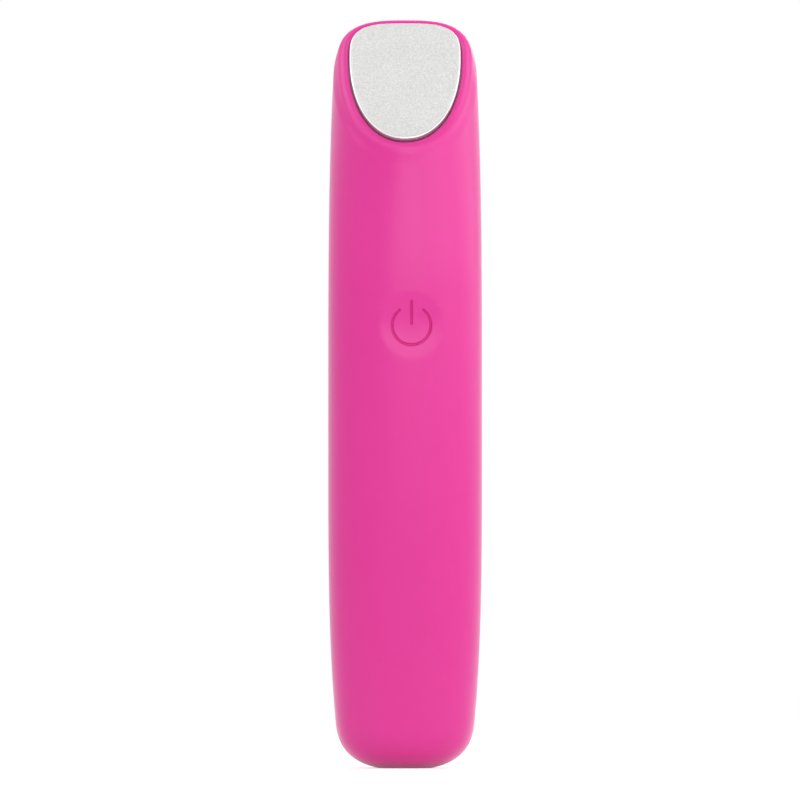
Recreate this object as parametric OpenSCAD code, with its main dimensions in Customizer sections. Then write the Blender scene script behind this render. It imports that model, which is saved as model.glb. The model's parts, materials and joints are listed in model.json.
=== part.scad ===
// Heated eye massager wand.
// Millimetres. The wand stands upright on its tail: +Z runs along it to the
// head, -Y is the front with the button, +X is to the right seen from the front.

/* [Body] */
// Length of the wand from the tail to the top of the head
body_len = 130; // [128:1:138]
// Widest width of the body, side to side
body_w = 26.7; // [26:0.1:28]
// Deepest depth of the body, front to back
body_d = 22; // [21.5:0.1:24]
// Wall of the silicone sleeve
skin_t = 1.4; // [1.2:0.1:1.5]
// Wall of the two housing shells
wall_t = 1.4; // [1.2:0.1:1.5]
// Squareness of the body's section, where 2 is an ellipse
section_n = 2.4; // [2.2:0.1:2.7]

/* [Head] */
// Angle of the head face's normal above level
head_tilt = 40; // [38:1:42]
// Width of the massage plate
plate_w = 19.3; // [18.8:0.1:19.8]
// Length of the plate from its widest line down to its lower end
plate_low = 18.5; // [17.5:0.1:18.8]
// Length of the plate from its widest line up to its upper end
plate_high = 7.8; // [7.6:0.05:8.2]
// How far the plate's face stands over the silicone collar
plate_proud = 0.7; // [0.4:0.1:0.9]
// Polished chamfer round the plate's face
plate_chamfer = 0.4; // [0.2:0.1:0.4]
// Height over which the scooped neck deepens under the head
scoop_low = 7; // [5:0.5:8]

/* [Button] */
// Diameter of the soft button pad
button_d = 11.4; // [10.8:0.1:11.8]
// Distance of the button's centre below the top of the head
button_drop = 53.2; // [52:0.1:54]
// Sideways distance of the button's centre from the middle of the body
button_side = 1.1; // [0:0.1:1.4]
// Depth of the thumb dish in the pad
dish_depth = 0.8; // [0.5:0.1:0.8]
// Travel of the button
button_travel = 0.4; // [0.3:0.1:0.4]
// Outer diameter of the power mark
mark_d = 7.3; // [6.6:0.1:7.4]
// Width of the power mark's line
mark_line = 0.6; // [0.5:0.05:0.7]
// Depth of the power mark's groove
mark_deep = 0.3; // [0.2:0.05:0.35]

/* [Battery] */
// Free depth in front of and behind the lithium cell, together
cell_room = 2.2; // [1.8:0.1:3]
// Height of the lithium cell's lower end above the tail
cell_z0 = 21; // [21:0.5:24]

/* [Motor] */
// Diameter of the motor can
motor_d = 10; // [9.6:0.1:10]
// Length of the motor can
motor_len = 15; // [14:0.5:15]
// Diameter of the motor shaft
shaft_d = 1.2; // [1:0.1:1.5]
// Radius of the eccentric weight
weight_r = 3.8; // [3.2:0.1:4]

/* [Charging port] */
// Height of the port's centre above the tail
port_z = 13.65; // [13.6:0.05:14]
// Width of the port cover
cover_w = 13.6; // [12.8:0.1:14]

/* [Fasteners] */
// Outer diameter of the case screw thread
screw_d = 1.7; // [1.6:0.1:1.8]
// Head diameter of the case screw
screw_head_d = 2.8; // [2.6:0.1:3]

/* [Hidden] */
$fn = 48;

// Clearance between fixed pieces, between sliding pieces and of a running shaft.
fit = 0.1;
slide_gap = 0.3;
run_gap = 0.05;
seg = 44;
seg_in = 32;
eps = 0.01;

// ---------------------------------------------------------------- outline
tail_h = 8;
tail_n = 2.68;
tail_flat = 0.4;
tail_cut = pow(1 - pow(tail_flat, tail_n), 1 / tail_n);
crown_n = 2.85;
tail_taper_w = 2.2;
tail_taper_d = 1.8;
belly_z = 56;
crown_taper = 0.29;
plate_r = plate_w / 2;
st = sin(head_tilt);
ct = cos(head_tilt);

// The collar round the plate: distance outward from the plate's edge and height.
collar_w = 2.25;
collar_top = 0.98;
collar_drop = 1.8;
collar = [[2.18, -1.25], [1.96, -0.7], [1.54, -0.25], [0.98, 0], [0.54, -0.1], [0.22, -0.4]];
head_lean = 0.7;
head_back_y = body_d / 2 - head_lean;
head_y = head_back_y - (plate_high + collar_top * collar_w) * st - collar_drop * ct;
head_z = body_len - max([for (c = collar) (plate_high + collar_top * c[0]) * ct + c[1] * st]);

// A point of the head from across, along and above the head's plane.
function head_pt(x, v, h) = [x, head_y + v * st - h * ct, head_z + v * ct + h * st];

// Lower and upper ends of the body where the collar starts.
neck_f = [
    head_y - (plate_low + collar_w) * st + collar_drop * ct,
    head_z - (plate_low + collar_w) * ct - collar_drop * st
];
neck_b = [
    head_y + (plate_high + collar_top * collar_w) * st + collar_drop * ct,
    head_z + (plate_high + collar_top * collar_w) * ct - collar_drop * st
];
neck_part = (plate_low + collar_w) / (plate_low + collar_w + plate_high + collar_top * collar_w);
fan_z = body_len - 46;
scoop_z = neck_f[1] - 3.6;
scoop_up = 5;

function ease(t) = t <= 0 ? 0 : t >= 1 ? 1 : t * t * (3 - 2 * t);
function mix(a, b, t) = a + (b - a) * t;
function tail_cap(z) =
    z >= tail_h ? 1 : pow(1 - pow((1 - z / tail_h) * tail_cut, tail_n), 1 / tail_n);
function tail_taper(z) = pow(max(0, 1 - z / belly_z), 3.43);
function half_w(z) =
    (body_w / 2 - tail_taper_w * tail_taper(z) - crown_taper * pow(max(0, (z - belly_z) / 48), 4))
    * tail_cap(z);
function half_d(z) = (body_d / 2 - tail_taper_d * tail_taper(z)) * tail_cap(z);
// The scoop meets the collar's lower edge, so its depth follows from that edge.
scoop_depth = (body_d / 2 + neck_f[0]) * exp(pow((neck_f[1] - scoop_z) / scoop_up, 2));
function scoop(z) =
    scoop_depth * exp(-pow((z - scoop_z) / (z < scoop_z ? scoop_low : scoop_up), 2));
function front_y(z) = scoop(z) - half_d(z);
function back_y(z) = half_d(z) - head_lean * ease((z - fan_z) / (neck_b[1] - fan_z));

// One closed outline of m points: half width a, widest point p, front end f, back end b.
function outline(a, p, f, b, nf, nb, m) = [
    for (k = [0 : m - 1])
        let (
            ang = 360 * k / m,
            c = cos(ang),
            s = sin(ang),
            n = s >= 0 ? nb : nf,
            r = pow(pow(abs(c), n) + pow(abs(s), n), -1 / n),
            q = s >= 0 ? b - p : p - f
        )
        [a * r * c, p[0] + q[0] * r * s, p[1] + q[1] * r * s]
];

// A level section of the body at height z, set in by d along the surface's normal.
function level_ring(z, d, m = seg) =
    let (
        slope = (half_w(z + 0.1) - half_w(z)) / 0.1,
        k = 1 / sqrt(1 + slope * slope),
        h = z + d * slope * k,
        yf = front_y(z) + d * k,
        yb = back_y(z) - d * k
    )
    outline(half_w(z) - d * k, [0, h], [yf, h], [yb, h], section_n, section_n, m);

// A section of the neck, turning from level to the head's tilt as t goes 0 to 1.
function neck_ring(t, d, m = seg) =
    let (
        zf = mix(fan_z, neck_f[1], t),
        zb = mix(fan_z, neck_b[1], t),
        f = [front_y(zf), zf],
        b = [back_y(zb), zb],
        part = mix(-front_y(fan_z) / (back_y(fan_z) - front_y(fan_z)), neck_part, ease(t)),
        p = mix(f, b, part),
        set = d / (b[0] - f[0])
    )
    outline(
        half_w(p[1]) - d,
        p,
        mix(f, b, set),
        mix(b, f, set),
        mix(section_n, 2.2, ease(t)),
        mix(section_n, crown_n, ease(t)),
        m
    );

// An outline in a plane of the head: half width, length down, length up, height.
function head_ring(a, low, high, h, nf = 2.15, nb = 3.4, m = seg) = [
    for (k = [0 : m - 1])
        let (
            ang = 360 * k / m,
            c = cos(ang),
            s = sin(ang),
            n = s >= 0 ? nb : nf,
            r = pow(pow(abs(c), n) + pow(abs(s), n), -1 / n)
        )
        head_pt(a * r * c, (s >= 0 ? high : low) * r * s, h)
];
function edge_ring(q, h) =
    head_ring(plate_r + q, plate_low + q, plate_high + collar_top * q, h,
        mix(2.15, 2.2, q / collar_w), mix(3.3, crown_n, q / collar_w));

// How far the back and the front of the body reach along the head's plane at
// height h, for a piece set in by d from the outer surface.
function reach_back(h, d) = (head_back_y - d - head_y + h * ct) / st;
function reach_front(h, d) = plate_low + collar_w - 0.62 * (h + collar_drop) - 1.2 * d;
function inner_ring(h, d, m = seg) =
    head_ring(plate_r + collar_w - d, reach_front(h, d), reach_back(h, d), h, 2.2, crown_n, m);

// Solid between a list of outlines of equal count.
module loft(rings) {
    count = len(rings);
    w = len(rings[0]);
    points = [for (r = rings) each r];
    sides = [
        for (i = [0 : count - 2], k = [0 : w - 1])
            let (m = (k + 1) % w, a = i * w, b = a + w)
            each [[a + k, b + k, b + m], [a + k, b + m, a + m]]
    ];
    first = [for (k = [0 : w - 1]) k];
    last = [for (k = [w - 1 : -1 : 0]) (count - 1) * w + k];
    polyhedron(points, concat([first], sides, [last]), convexity = 8);
}

tail_z = [0, 0.3, 0.8, 1.6, 2.8, 4.4, 6.4, 9];
mid_z = [14, 22, 33, 45, fan_z - 8, fan_z];
neck_t = [0.14, 0.28, 0.4, 0.5, 0.58, 0.64, 0.7, 0.75, 0.8, 0.84, 0.88, 0.915, 0.95, 0.98, 1];
in_tail = [0, 0.9, 2.9, 6.4];
in_mid = [14, 33, fan_z - 8];
in_neck = [0.14, 0.4, 0.58, 0.7, 0.8, 0.88];
function inner_body(d, m = seg) = concat(
    [for (z = in_tail) level_ring(z, d, m)],
    [for (z = in_mid) level_ring(z, d, m)],
    [for (t = in_neck) neck_ring(t, d, m)]
);
function flip(list) = [for (i = [len(list) - 1 : -1 : 0]) list[i]];

// ---------------------------------------------------------------- depths
shell_set = skin_t + fit;
cavity_set = shell_set + wall_t;
shell_top = -3;
flange_top = -0.5;
flange_low = -1.3;
seal_low = -1.8;
flange_over = 0.9;
front_out = -(body_d / 2 - shell_set);
front_in = front_out + wall_t;
back_out = body_d / 2 - shell_set;
back_in = back_out - wall_t;
inner_w = body_w / 2 - cavity_set;

button_z = body_len - button_drop;
keycap_y = front_out;
keycap_d = 10;
keycap_flange_d = 11.8;
keycap_lip_y = front_in + 0.4;
keycap_lip_t = 0.8;
switch_w = 6.2;
switch_h = 1.4;
switch_stem_d = 3;
post_len = 0.5;
board_t = 1;
board_y = keycap_lip_y + keycap_lip_t + post_len + button_travel + fit + switch_h;
board_w = 16.4;
board_z0 = button_z - 13.3;
board_z1 = button_z + 12.7;
stem_y0 = board_y - switch_h - button_travel - fit;
stem_y1 = board_y - 0.6;

cell_d = body_d - 2 * cavity_set - cell_room;
cell_y = cell_room / 2 - 0.3;
cell_z1 = board_z0 - 2.5;
cell_len = cell_z1 - cell_z0;

motor_y = 2.1;
motor_z0 = body_len - 42;
motor_z1 = motor_z0 + motor_len;
cradle_t = 0.6;
cradle_r = motor_d / 2 + cradle_t;
cradle_z0 = motor_z0 + 3.5;
cradle_z1 = motor_z0 + 12.5;
bearing_h = 0.9;
weight_z0 = motor_z1 + bearing_h + 0.3;
weight_h = 4.4;

low_screw_x = 7.4;
low_screw_z = 18;
top_screw_x = 8.05;
top_screw_z = motor_z0 + 9.5;
seat_y = 4.6;
screw_len = 8;
screw_head_h = 1.1;
boss_r = 2.2;
screw_at = [
    [-low_screw_x, low_screw_z], [low_screw_x, low_screw_z],
    [-top_screw_x, top_screw_z], [top_screw_x, top_screw_z]
];

board_screw_at = [[-6.6, board_z0 + 3], [6.6, board_z1 - 3]];
board_screw_d = 1.2;
board_screw_head = 2.6;

socket_w = 8.94;
socket_h = 3.16;
socket_len = 7.35;
socket_wall = 0.3;
charge_board_t = 1;
charge_board_z = port_z - socket_h / 2 - charge_board_t;
port_skin_y = half_d(port_z);
socket_y1 = port_skin_y - shell_set - 0.4;
socket_y0 = socket_y1 - socket_len;
cover_axis_z = port_z - 4.25;
cover_axis_y = half_d(cover_axis_z) - 0.65;
cover_top_z = port_z + 4.25;
cover_t = 1.35;
barrel_r = 0.65;
plug_w = 7.8;
plug_h = 2;
plug_in = 0.6;

silicone = [0.894, 0.282, 0.62];
white_abs = [0.93, 0.93, 0.92];
steel = [0.72, 0.73, 0.75];
aluminium = [0.86, 0.86, 0.87];
board_green = [0.06, 0.36, 0.2];
black = [0.1, 0.1, 0.11];
copper = [0.8, 0.5, 0.3];

// ---------------------------------------------------------------- helpers
module along_y(x, z, y0, y1, r) {
    translate([x, y0, z])
        rotate([-90, 0, 0])
            cylinder(h = y1 - y0, r = r);
}

module block(x0, x1, y0, y1, z0, z1) {
    translate([x0, y0, z0])
        cube([x1 - x0, y1 - y0, z1 - z0]);
}

// A bar with rounded ends, lying across, drawn in the plane square to y.
module round_bar(w, h, y0, y1, z) {
    r = h / 2;
    union() {
        block(r - w / 2, w / 2 - r, y0, y1, z - r, z + r);
        along_y(r - w / 2, z, y0, y1, r);
        along_y(w / 2 - r, z, y0, y1, r);
    }
}

// A rounded rectangle prism square to y.
module round_rect(x0, x1, z0, z1, y0, y1, r) {
    union() {
        block(x0 + r, x1 - r, y0, y1, z0, z1);
        block(x0, x1, y0, y1, z0 + r, z1 - r);
        for (x = [x0 + r, x1 - r], z = [z0 + r, z1 - r])
            along_y(x, z, y0, y1, r);
    }
}

// Insulated wire along a smooth path of points.
wire_seg = 6;
function spline(p, i, t) =
    let (
        a = p[max(0, i - 1)],
        b = p[i],
        c = p[i + 1],
        d = p[min(len(p) - 1, i + 2)]
    )
    0.5 * (2 * b + (c - a) * t + (2 * a - 5 * b + 4 * c - d) * t * t
        + (3 * b - a - 3 * c + d) * t * t * t);
function unit(v) = v / norm(v);
module wire(path, r) {
    line = concat(
        [for (i = [0 : len(path) - 2], j = [0 : 1]) spline(path, i, j / 2)],
        [path[len(path) - 1]]
    );
    n = len(line);
    points = [
        for (i = [0 : n - 1])
            let (
                t = unit(line[min(n - 1, i + 1)] - line[max(0, i - 1)]),
                u = unit(cross(t, [1, 0.15, 0.05])),
                v = cross(t, u)
            )
            for (k = [0 : wire_seg - 1])
                line[i] + r * (u * cos(360 * k / wire_seg) + v * sin(360 * k / wire_seg))
    ];
    sides = [
        for (i = [0 : n - 2], k = [0 : wire_seg - 1])
            let (m = (k + 1) % wire_seg, a = i * wire_seg, b = a + wire_seg)
            each [[a + k, b + k, b + m], [a + k, b + m, a + m]]
    ];
    first = [for (k = [0 : wire_seg - 1]) k];
    last = [for (k = [wire_seg - 1 : -1 : 0]) (n - 1) * wire_seg + k];
    polyhedron(points, concat([first], sides, [last]));
}

// ---------------------------------------------------------------- sleeve
module sleeve_body() {
    loft(concat(
        [for (z = tail_z) level_ring(z, 0)],
        [for (z = mid_z) level_ring(z, 0)],
        [for (t = neck_t) neck_ring(t, 0)],
        [for (c = collar) edge_ring(c[0], c[1])],
        [
            edge_ring(fit, flange_top + fit),
            edge_ring(flange_over + fit, flange_top + fit),
            edge_ring(flange_over + fit, flange_low),
            inner_ring(flange_low - fit, skin_t),
            inner_ring(shell_top, skin_t)
        ],
        flip(inner_body(skin_t))
    ));
}

module silicone_sleeve() {
    color(silicone)
        difference() {
            sleeve_body();
            along_y(button_side, button_z, -body_d, 0, button_d / 2 + slide_gap);
            round_rect(
                -cover_w / 2 - slide_gap, cover_w / 2 + slide_gap,
                cover_axis_z - barrel_r - slide_gap, cover_top_z + slide_gap,
                0, body_d, 1.6
            );
        }
}

// Front surface of the body at a point of the button, pushed in by the dish.
function skin_y(x, z) =
    -half_d(z) * pow(1 - pow(abs(x) / half_w(z), section_n), 1 / section_n) + scoop(z);
pad_rings = [1, 0.88, 0.74, 0.6, 0.46, 0.3];
function pad_pt(q, ang, d) =
    let (
        r = q * button_d / 2,
        x = button_side + r * cos(ang),
        z = button_z + r * sin(ang)
    )
    [x, skin_y(x, z) + dish_depth * pow(1 - q * q, 2) + d, z];
pad_seg = 36;
function pad_ring(q, d) = [for (k = [0 : pad_seg - 1]) pad_pt(q, 360 * k / pad_seg, d)];
function flat_ring(q, y) = [
    for (k = [0 : pad_seg - 1])
        let (ang = 360 * k / pad_seg, r = q * button_d / 2)
        [button_side + r * cos(ang), y, button_z + r * sin(ang)]
];

module power_mark(y0, y1) {
    r1 = mark_d / 2;
    gap = 38;
    translate([button_side, y1, button_z])
        rotate([90, 0, 0])
            union() {
                rotate([0, 0, 90 + gap])
                    rotate_extrude(angle = 360 - 2 * gap)
                        translate([r1 - mark_line, 0])
                            square([mark_line, y1 - y0]);
                translate([-mark_line / 2, 0, 0])
                    cube([mark_line, mark_d * 0.615, y1 - y0]);
            }
}

module power_button() {
    hub = skin_y(button_side, button_z) + dish_depth;
    color(silicone)
        difference() {
            loft(concat(
                [flat_ring(1, keycap_y)],
                [for (q = pad_rings) pad_ring(q, 0)],
                [flat_ring(0.12, hub)]
            ));
            intersection() {
                loft(concat(
                    [flat_ring(0.12, hub + mark_deep)],
                    [for (q = flip(pad_rings)) pad_ring(q * 0.9, mark_deep)],
                    [flat_ring(0.9, -body_d)]
                ));
                power_mark(-body_d, 0);
            }
        }
}

module button_keycap() {
    color(white_abs)
        union() {
            along_y(button_side, button_z, keycap_y, keycap_lip_y + eps, keycap_d / 2);
            along_y(button_side, button_z, keycap_lip_y, keycap_lip_y + keycap_lip_t,
                keycap_flange_d / 2);
            along_y(button_side, button_z, keycap_lip_y + keycap_lip_t - eps, stem_y0,
                switch_stem_d / 2 + 0.5);
        }
}

module switch_stem() {
    color(black)
        along_y(button_side, button_z, stem_y0, stem_y1, switch_stem_d / 2);
}

module tact_switch() {
    w = switch_w / 2;
    color(steel)
        difference() {
            block(button_side - w, button_side + w, board_y - switch_h, board_y,
                button_z - w, button_z + w);
            along_y(button_side, button_z, board_y - switch_h - 1, stem_y1 + button_travel + 0.05,
                switch_stem_d / 2 + run_gap);
        }
}

// ---------------------------------------------------------------- shells
module shell_wall() {
    loft(concat(
        inner_body(shell_set, seg_in),
        [inner_ring(shell_top, shell_set, seg_in), inner_ring(shell_top, cavity_set, seg_in)],
        flip(inner_body(cavity_set, seg_in))
    ));
}

module shell_core() {
    loft(concat(
        inner_body(shell_set + wall_t * 0.4, seg_in),
        [inner_ring(shell_top - 0.2, shell_set + wall_t * 0.4, seg_in)]
    ));
}

module cross_rib(z, t, y0, y1, half = body_w) {
    block(-half, half, y0, y1, z, z + t);
}

module front_shell() {
    color(white_abs)
        difference() {
            union() {
                intersection() {
                    shell_wall();
                    block(-body_w, body_w, -body_d, 0, -1, body_len + 1);
                }
                intersection() {
                    shell_core();
                    union() {
                        for (s = screw_at)
                            along_y(s[0], s[1], -body_d, 0, boss_r);
                        for (s = board_screw_at)
                            along_y(s[0], s[1], -body_d, board_y, 1.7);
                        along_y(button_side, button_z, -body_d, keycap_lip_y + keycap_lip_t,
                            keycap_flange_d / 2 + slide_gap + 1.3);
                        cross_rib(cell_z0 + 8, 1.2, -body_d, -3, 6);
                        cross_rib(cell_z1 - 8, 1.2, -body_d, -3, 6);
                        cross_rib(cradle_z0 + 2.5, 1.4, -body_d, -0.5, 4.5);
                    }
                }
            }
            for (s = screw_at)
                along_y(s[0], s[1], seat_y - screw_len - 0.6, 1, screw_d / 2 + run_gap);
            for (s = board_screw_at)
                along_y(s[0], s[1], board_y - 2.8, board_y + 1, board_screw_d / 2 + run_gap);
            along_y(button_side, button_z, -body_d, keycap_y + button_travel + 0.2,
                button_d / 2 + slide_gap);
            along_y(button_side, button_z, -body_d, 0, keycap_d / 2 + slide_gap);
            along_y(button_side, button_z, keycap_lip_y - 0.05, 0,
                keycap_flange_d / 2 + slide_gap);
            translate([0, cell_y, cell_z0 - 5])
                cylinder(h = cell_len + 10, r = cell_d / 2 + fit);
            translate([0, motor_y, cradle_z0])
                cylinder(h = cradle_z1 - cradle_z0, r = cradle_r + 0.02);
        }
}

module rear_shell() {
    color(white_abs)
        difference() {
            union() {
                intersection() {
                    shell_wall();
                    block(-body_w, body_w, 0, body_d, -1, body_len + 1);
                }
                intersection() {
                    shell_core();
                    union() {
                        for (s = screw_at)
                            along_y(s[0], s[1], 0, body_d, boss_r);
                        cross_rib(cell_z0 - 1.4, 1.2, 2, body_d);
                        cross_rib(cell_z0 + 8, 1.2, 3, body_d);
                        cross_rib(cell_z1 - 8, 1.2, 3, body_d);
                        cross_rib(cradle_z0 + 2.5, 1.4, 0.5, body_d);
                        for (s = [-1, 1])
                            block(min(s * 5.8, s * body_w), max(s * 5.8, s * body_w), 0, 6,
                                charge_board_z - 1.2, charge_board_z + charge_board_t + 1.2);
                    }
                }
            }
            for (s = screw_at) {
                along_y(s[0], s[1], -1, body_d, screw_d / 2 + fit);
                along_y(s[0], s[1], seat_y, body_d, screw_head_d / 2 + fit);
            }
            translate([0, cell_y, cell_z0])
                cylinder(h = cell_len + 5, r = cell_d / 2 + fit);
            translate([0, motor_y, cradle_z0])
                cylinder(h = cradle_z1 - cradle_z0, r = cradle_r + 0.02);
            block(-6.6, 6.6, -1, 7, charge_board_z - 0.05, charge_board_z + charge_board_t + 0.05);
            round_bar(socket_w + 0.4, socket_h + 0.4, 2, body_d, port_z);
        }
}

module case_screws() {
    color(steel)
        for (s = screw_at)
            difference() {
                union() {
                    along_y(s[0], s[1], seat_y - screw_len, seat_y + eps, screw_d / 2);
                    along_y(s[0], s[1], seat_y, seat_y + screw_head_h, screw_head_d / 2);
                }
                block(s[0] - 0.9, s[0] + 0.9, seat_y + 0.5, seat_y + 2, s[1] - 0.15, s[1] + 0.15);
                block(s[0] - 0.15, s[0] + 0.15, seat_y + 0.5, seat_y + 2, s[1] - 0.9, s[1] + 0.9);
            }
}

// ---------------------------------------------------------------- head
module massage_plate() {
    color(aluminium)
        loft([
            edge_ring(flange_over, flange_low),
            edge_ring(flange_over, flange_top),
            edge_ring(0, flange_top),
            edge_ring(0, plate_proud - plate_chamfer),
            edge_ring(-0.12, plate_proud - plate_chamfer * 0.3),
            edge_ring(-plate_chamfer, plate_proud)
        ]);
}

seal_w = 1.4;
module plate_seal() {
    color(black)
        difference() {
            loft([
                inner_ring(seal_low, shell_set + 0.1),
                inner_ring(flange_low, shell_set + 0.1)
            ]);
            loft([
                inner_ring(seal_low - 0.1, shell_set + seal_w),
                inner_ring(flange_low + 0.1, shell_set + seal_w)
            ]);
        }
}

module heater_film() {
    color(copper)
        loft([
            head_ring(plate_r - 1.3, plate_low - 2.2, 4.4, flange_low - 0.2),
            head_ring(plate_r - 1.3, plate_low - 2.2, 4.4, flange_low - 0.02)
        ]);
}

module heat_insulator() {
    color([0.85, 0.85, 0.8])
        difference() {
            loft([
                head_ring(plate_r - 1.4, plate_low - 2.4, 3.4, flange_low - 1.5),
                head_ring(plate_r - 1.4, plate_low - 2.4, 4.2, flange_low - 0.22)
            ]);
            translate(head_pt(0, -6, 0))
                rotate([90 - head_tilt, 0, 0])
                    translate([-1.6, -2, -4])
                        cube([3.2, 4, 4]);
        }
}

module thermistor() {
    color(black)
        translate(head_pt(0, -6, flange_low - 0.2))
            rotate([90 - head_tilt, 0, 0])
                translate([-0.8, -1.2, -1])
                    cube([1.6, 2.4, 1]);
}

skirt_h = 1;
module head_carrier() {
    color([0.82, 0.8, 0.74])
        difference() {
            union() {
                loft([
                    inner_ring(shell_top, shell_set + 0.1),
                    inner_ring(seal_low, shell_set + 0.1)
                ]);
                loft([
                    inner_ring(shell_top - skirt_h, cavity_set + 0.9),
                    inner_ring(shell_top + 0.1, cavity_set + 0.2)
                ]);
            }
            loft([
                head_ring(plate_r - 1.2, plate_low - 2, 3.6, flange_low - 1.5),
                head_ring(plate_r - 1.2, plate_low - 2, 4.8, seal_low + 0.1)
            ]);
            translate(head_pt(0, -6, 0))
                rotate([90 - head_tilt, 0, 0])
                    translate([-2.4, -2.5, -8])
                        cube([4.8, 5, 8]);
        }
}

// ---------------------------------------------------------------- motor
module motor_can() {
    color(steel)
        translate([0, motor_y, 0])
            difference() {
                union() {
                    translate([0, 0, motor_z0 + 1])
                        cylinder(h = motor_len - 1, r = motor_d / 2);
                    translate([0, 0, motor_z1 - eps])
                        cylinder(h = bearing_h * 0.5, r = 2.4);
                }
                translate([0, 0, motor_z0])
                    cylinder(h = motor_len - 0.6, r = motor_d / 2 - 0.4);
                translate([0, 0, motor_z0])
                    cylinder(h = motor_len + 3, r = 1.5);
            }
}

module motor_bearing() {
    color(copper)
        translate([0, motor_y, motor_z1 - 1.4])
            difference() {
                cylinder(h = 1.4 + bearing_h, r = 1.5 - 0.01);
                translate([0, 0, -1])
                    cylinder(h = 5, r = shaft_d / 2 + run_gap);
            }
}

module motor_end_cap() {
    color(black)
        translate([0, motor_y, motor_z0])
            difference() {
                union() {
                    cylinder(h = 1, r = motor_d / 2);
                    translate([0, 0, 1 - eps])
                        cylinder(h = 2, r = motor_d / 2 - 0.4 - 0.02);
                }
                translate([0, 0, 1.2])
                    cylinder(h = 3, r = shaft_d / 2 + run_gap);
            }
}

module motor_shaft() {
    color(steel)
        translate([0, motor_y, 0])
            union() {
                translate([0, 0, motor_z0 + 1.3])
                    cylinder(h = weight_z0 + weight_h + 0.4 - motor_z0 - 1.3, r = shaft_d / 2);
                translate([0, 0, motor_z0 + 4.5])
                    cylinder(h = motor_len - 7, r = motor_d / 2 - 1.4);
            }
}

module eccentric_weight() {
    color([0.55, 0.55, 0.58])
        translate([0, motor_y, weight_z0])
            difference() {
                union() {
                    cylinder(h = weight_h, r = 1.5);
                    intersection() {
                        cylinder(h = weight_h, r = weight_r);
                        translate([-weight_r, 0, 0])
                            cube([2 * weight_r, weight_r, weight_h]);
                    }
                }
                translate([0, 0, -1])
                    cylinder(h = weight_h + 2, r = shaft_d / 2);
            }
}

module motor_cradle() {
    color(black)
        translate([0, motor_y, cradle_z0])
            difference() {
                cylinder(h = cradle_z1 - cradle_z0, r = cradle_r);
                translate([0, 0, -1])
                    cylinder(h = cradle_z1 - cradle_z0 + 2, r = motor_d / 2 + 0.01);
            }
}

// ---------------------------------------------------------------- battery
module battery_cell() {
    color([0.2, 0.35, 0.75])
        translate([0, cell_y, cell_z0])
            union() {
                cylinder(h = cell_len - 1, r = cell_d / 2);
                translate([0, 0, cell_len - 1 - eps])
                    cylinder(h = 1 + eps, r = cell_d / 2 - 3.5);
            }
}

module battery_foam() {
    color([0.25, 0.25, 0.27])
        difference() {
            block(-4, 4, front_in + 0.55, cell_y - cell_d / 2 + 2, cell_z0 + 11, cell_z1 - 11);
            translate([0, cell_y, cell_z0])
                cylinder(h = cell_len, r = cell_d / 2 + eps);
        }
}

module battery_tabs() {
    color(steel)
        union() {
            block(-1.5, 1.5, cell_y - 2, cell_y + 4, cell_z1, cell_z1 + 0.2);
            block(-1.5, 1.5, cell_y - 4, cell_y + cell_d / 2 - 2, cell_z0 - 0.2, cell_z0);
        }
}

module battery_protection_board() {
    color(board_green)
        block(-5, 5, cell_y - 2, cell_y + 3, cell_z1 + 0.2, cell_z1 + 1);
}

// ---------------------------------------------------------------- boards
module main_board() {
    color(board_green)
        difference() {
            round_rect(-board_w / 2, board_w / 2, board_z0, board_z1, board_y,
                board_y + board_t, 1.2);
            for (s = board_screw_at)
                along_y(s[0], s[1], board_y - 1, board_y + 3, board_screw_d / 2 + run_gap);
        }
}

board_back = board_y + board_t;
module controller_chip() {
    color(black)
        block(-2.5, 2.5, board_back, board_back + 0.9, button_z + 1, button_z + 6);
}

module driver_chips() {
    color(black)
        for (x = [-5.4, 3.9])
            block(x, x + 1.5, board_back, board_back + 1, button_z - 4.5, button_z - 1.6);
}

module board_passives() {
    color([0.55, 0.42, 0.3])
        union() {
            for (i = [0 : 3])
                block(-6.6, -5.6, board_back, board_back + 0.6,
                    button_z + 1 + 1.6 * i, button_z + 1.6 + 1.6 * i);
            for (i = [0 : 2])
                block(4.4, 5.4, board_back, board_back + 0.6,
                    button_z + 1 + 1.6 * i, button_z + 1.6 + 1.6 * i);
            block(-1.5, 1.5, board_back, board_back + 1.6, button_z - 5, button_z - 2);
        }
}

module board_sockets() {
    color([0.93, 0.9, 0.8])
        for (x = [-3.1, 3.1])
            difference() {
                block(x - 2.2, x + 2.2, board_back, board_back + 2.2, board_z0 + 0.6, board_z0 + 4);
                block(x - 1.6, x + 1.6, board_back + 0.6, board_back + 1.7, board_z0,
                    board_z0 + 2.6);
            }
}

module status_led() {
    color([0.95, 0.95, 0.85])
        block(-5.8, -4.2, board_y - 0.7, board_y, button_z + 0.4, button_z + 1.2);
}

module board_screws() {
    color(steel)
        for (s = board_screw_at)
            difference() {
                union() {
                    along_y(s[0], s[1], board_y - 2.4, board_back + eps, board_screw_d / 2);
                    along_y(s[0], s[1], board_back, board_back + 0.8, board_screw_head / 2);
                }
                block(s[0] - 0.8, s[0] + 0.8, board_back + 0.4, board_back + 2,
                    s[1] - 0.15, s[1] + 0.15);
            }
}

module charge_board() {
    color(board_green)
        block(-6.5, 6.5, socket_y0 - 4.6, socket_y1 - 1.5, charge_board_z,
            charge_board_z + charge_board_t);
}

module charge_chip() {
    color(black)
        block(-2.2, 2.2, socket_y0 - 3.6, socket_y0 - 0.8, charge_board_z + charge_board_t,
            charge_board_z + charge_board_t + 1);
}

module charge_socket() {
    color(steel)
        difference() {
            round_bar(socket_w, socket_h, socket_y0, socket_y1, port_z);
            round_bar(socket_w - 2 * socket_wall, socket_h - 2 * socket_wall,
                socket_y0 + 0.6, socket_y1 + 1, port_z);
        }
}

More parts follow.
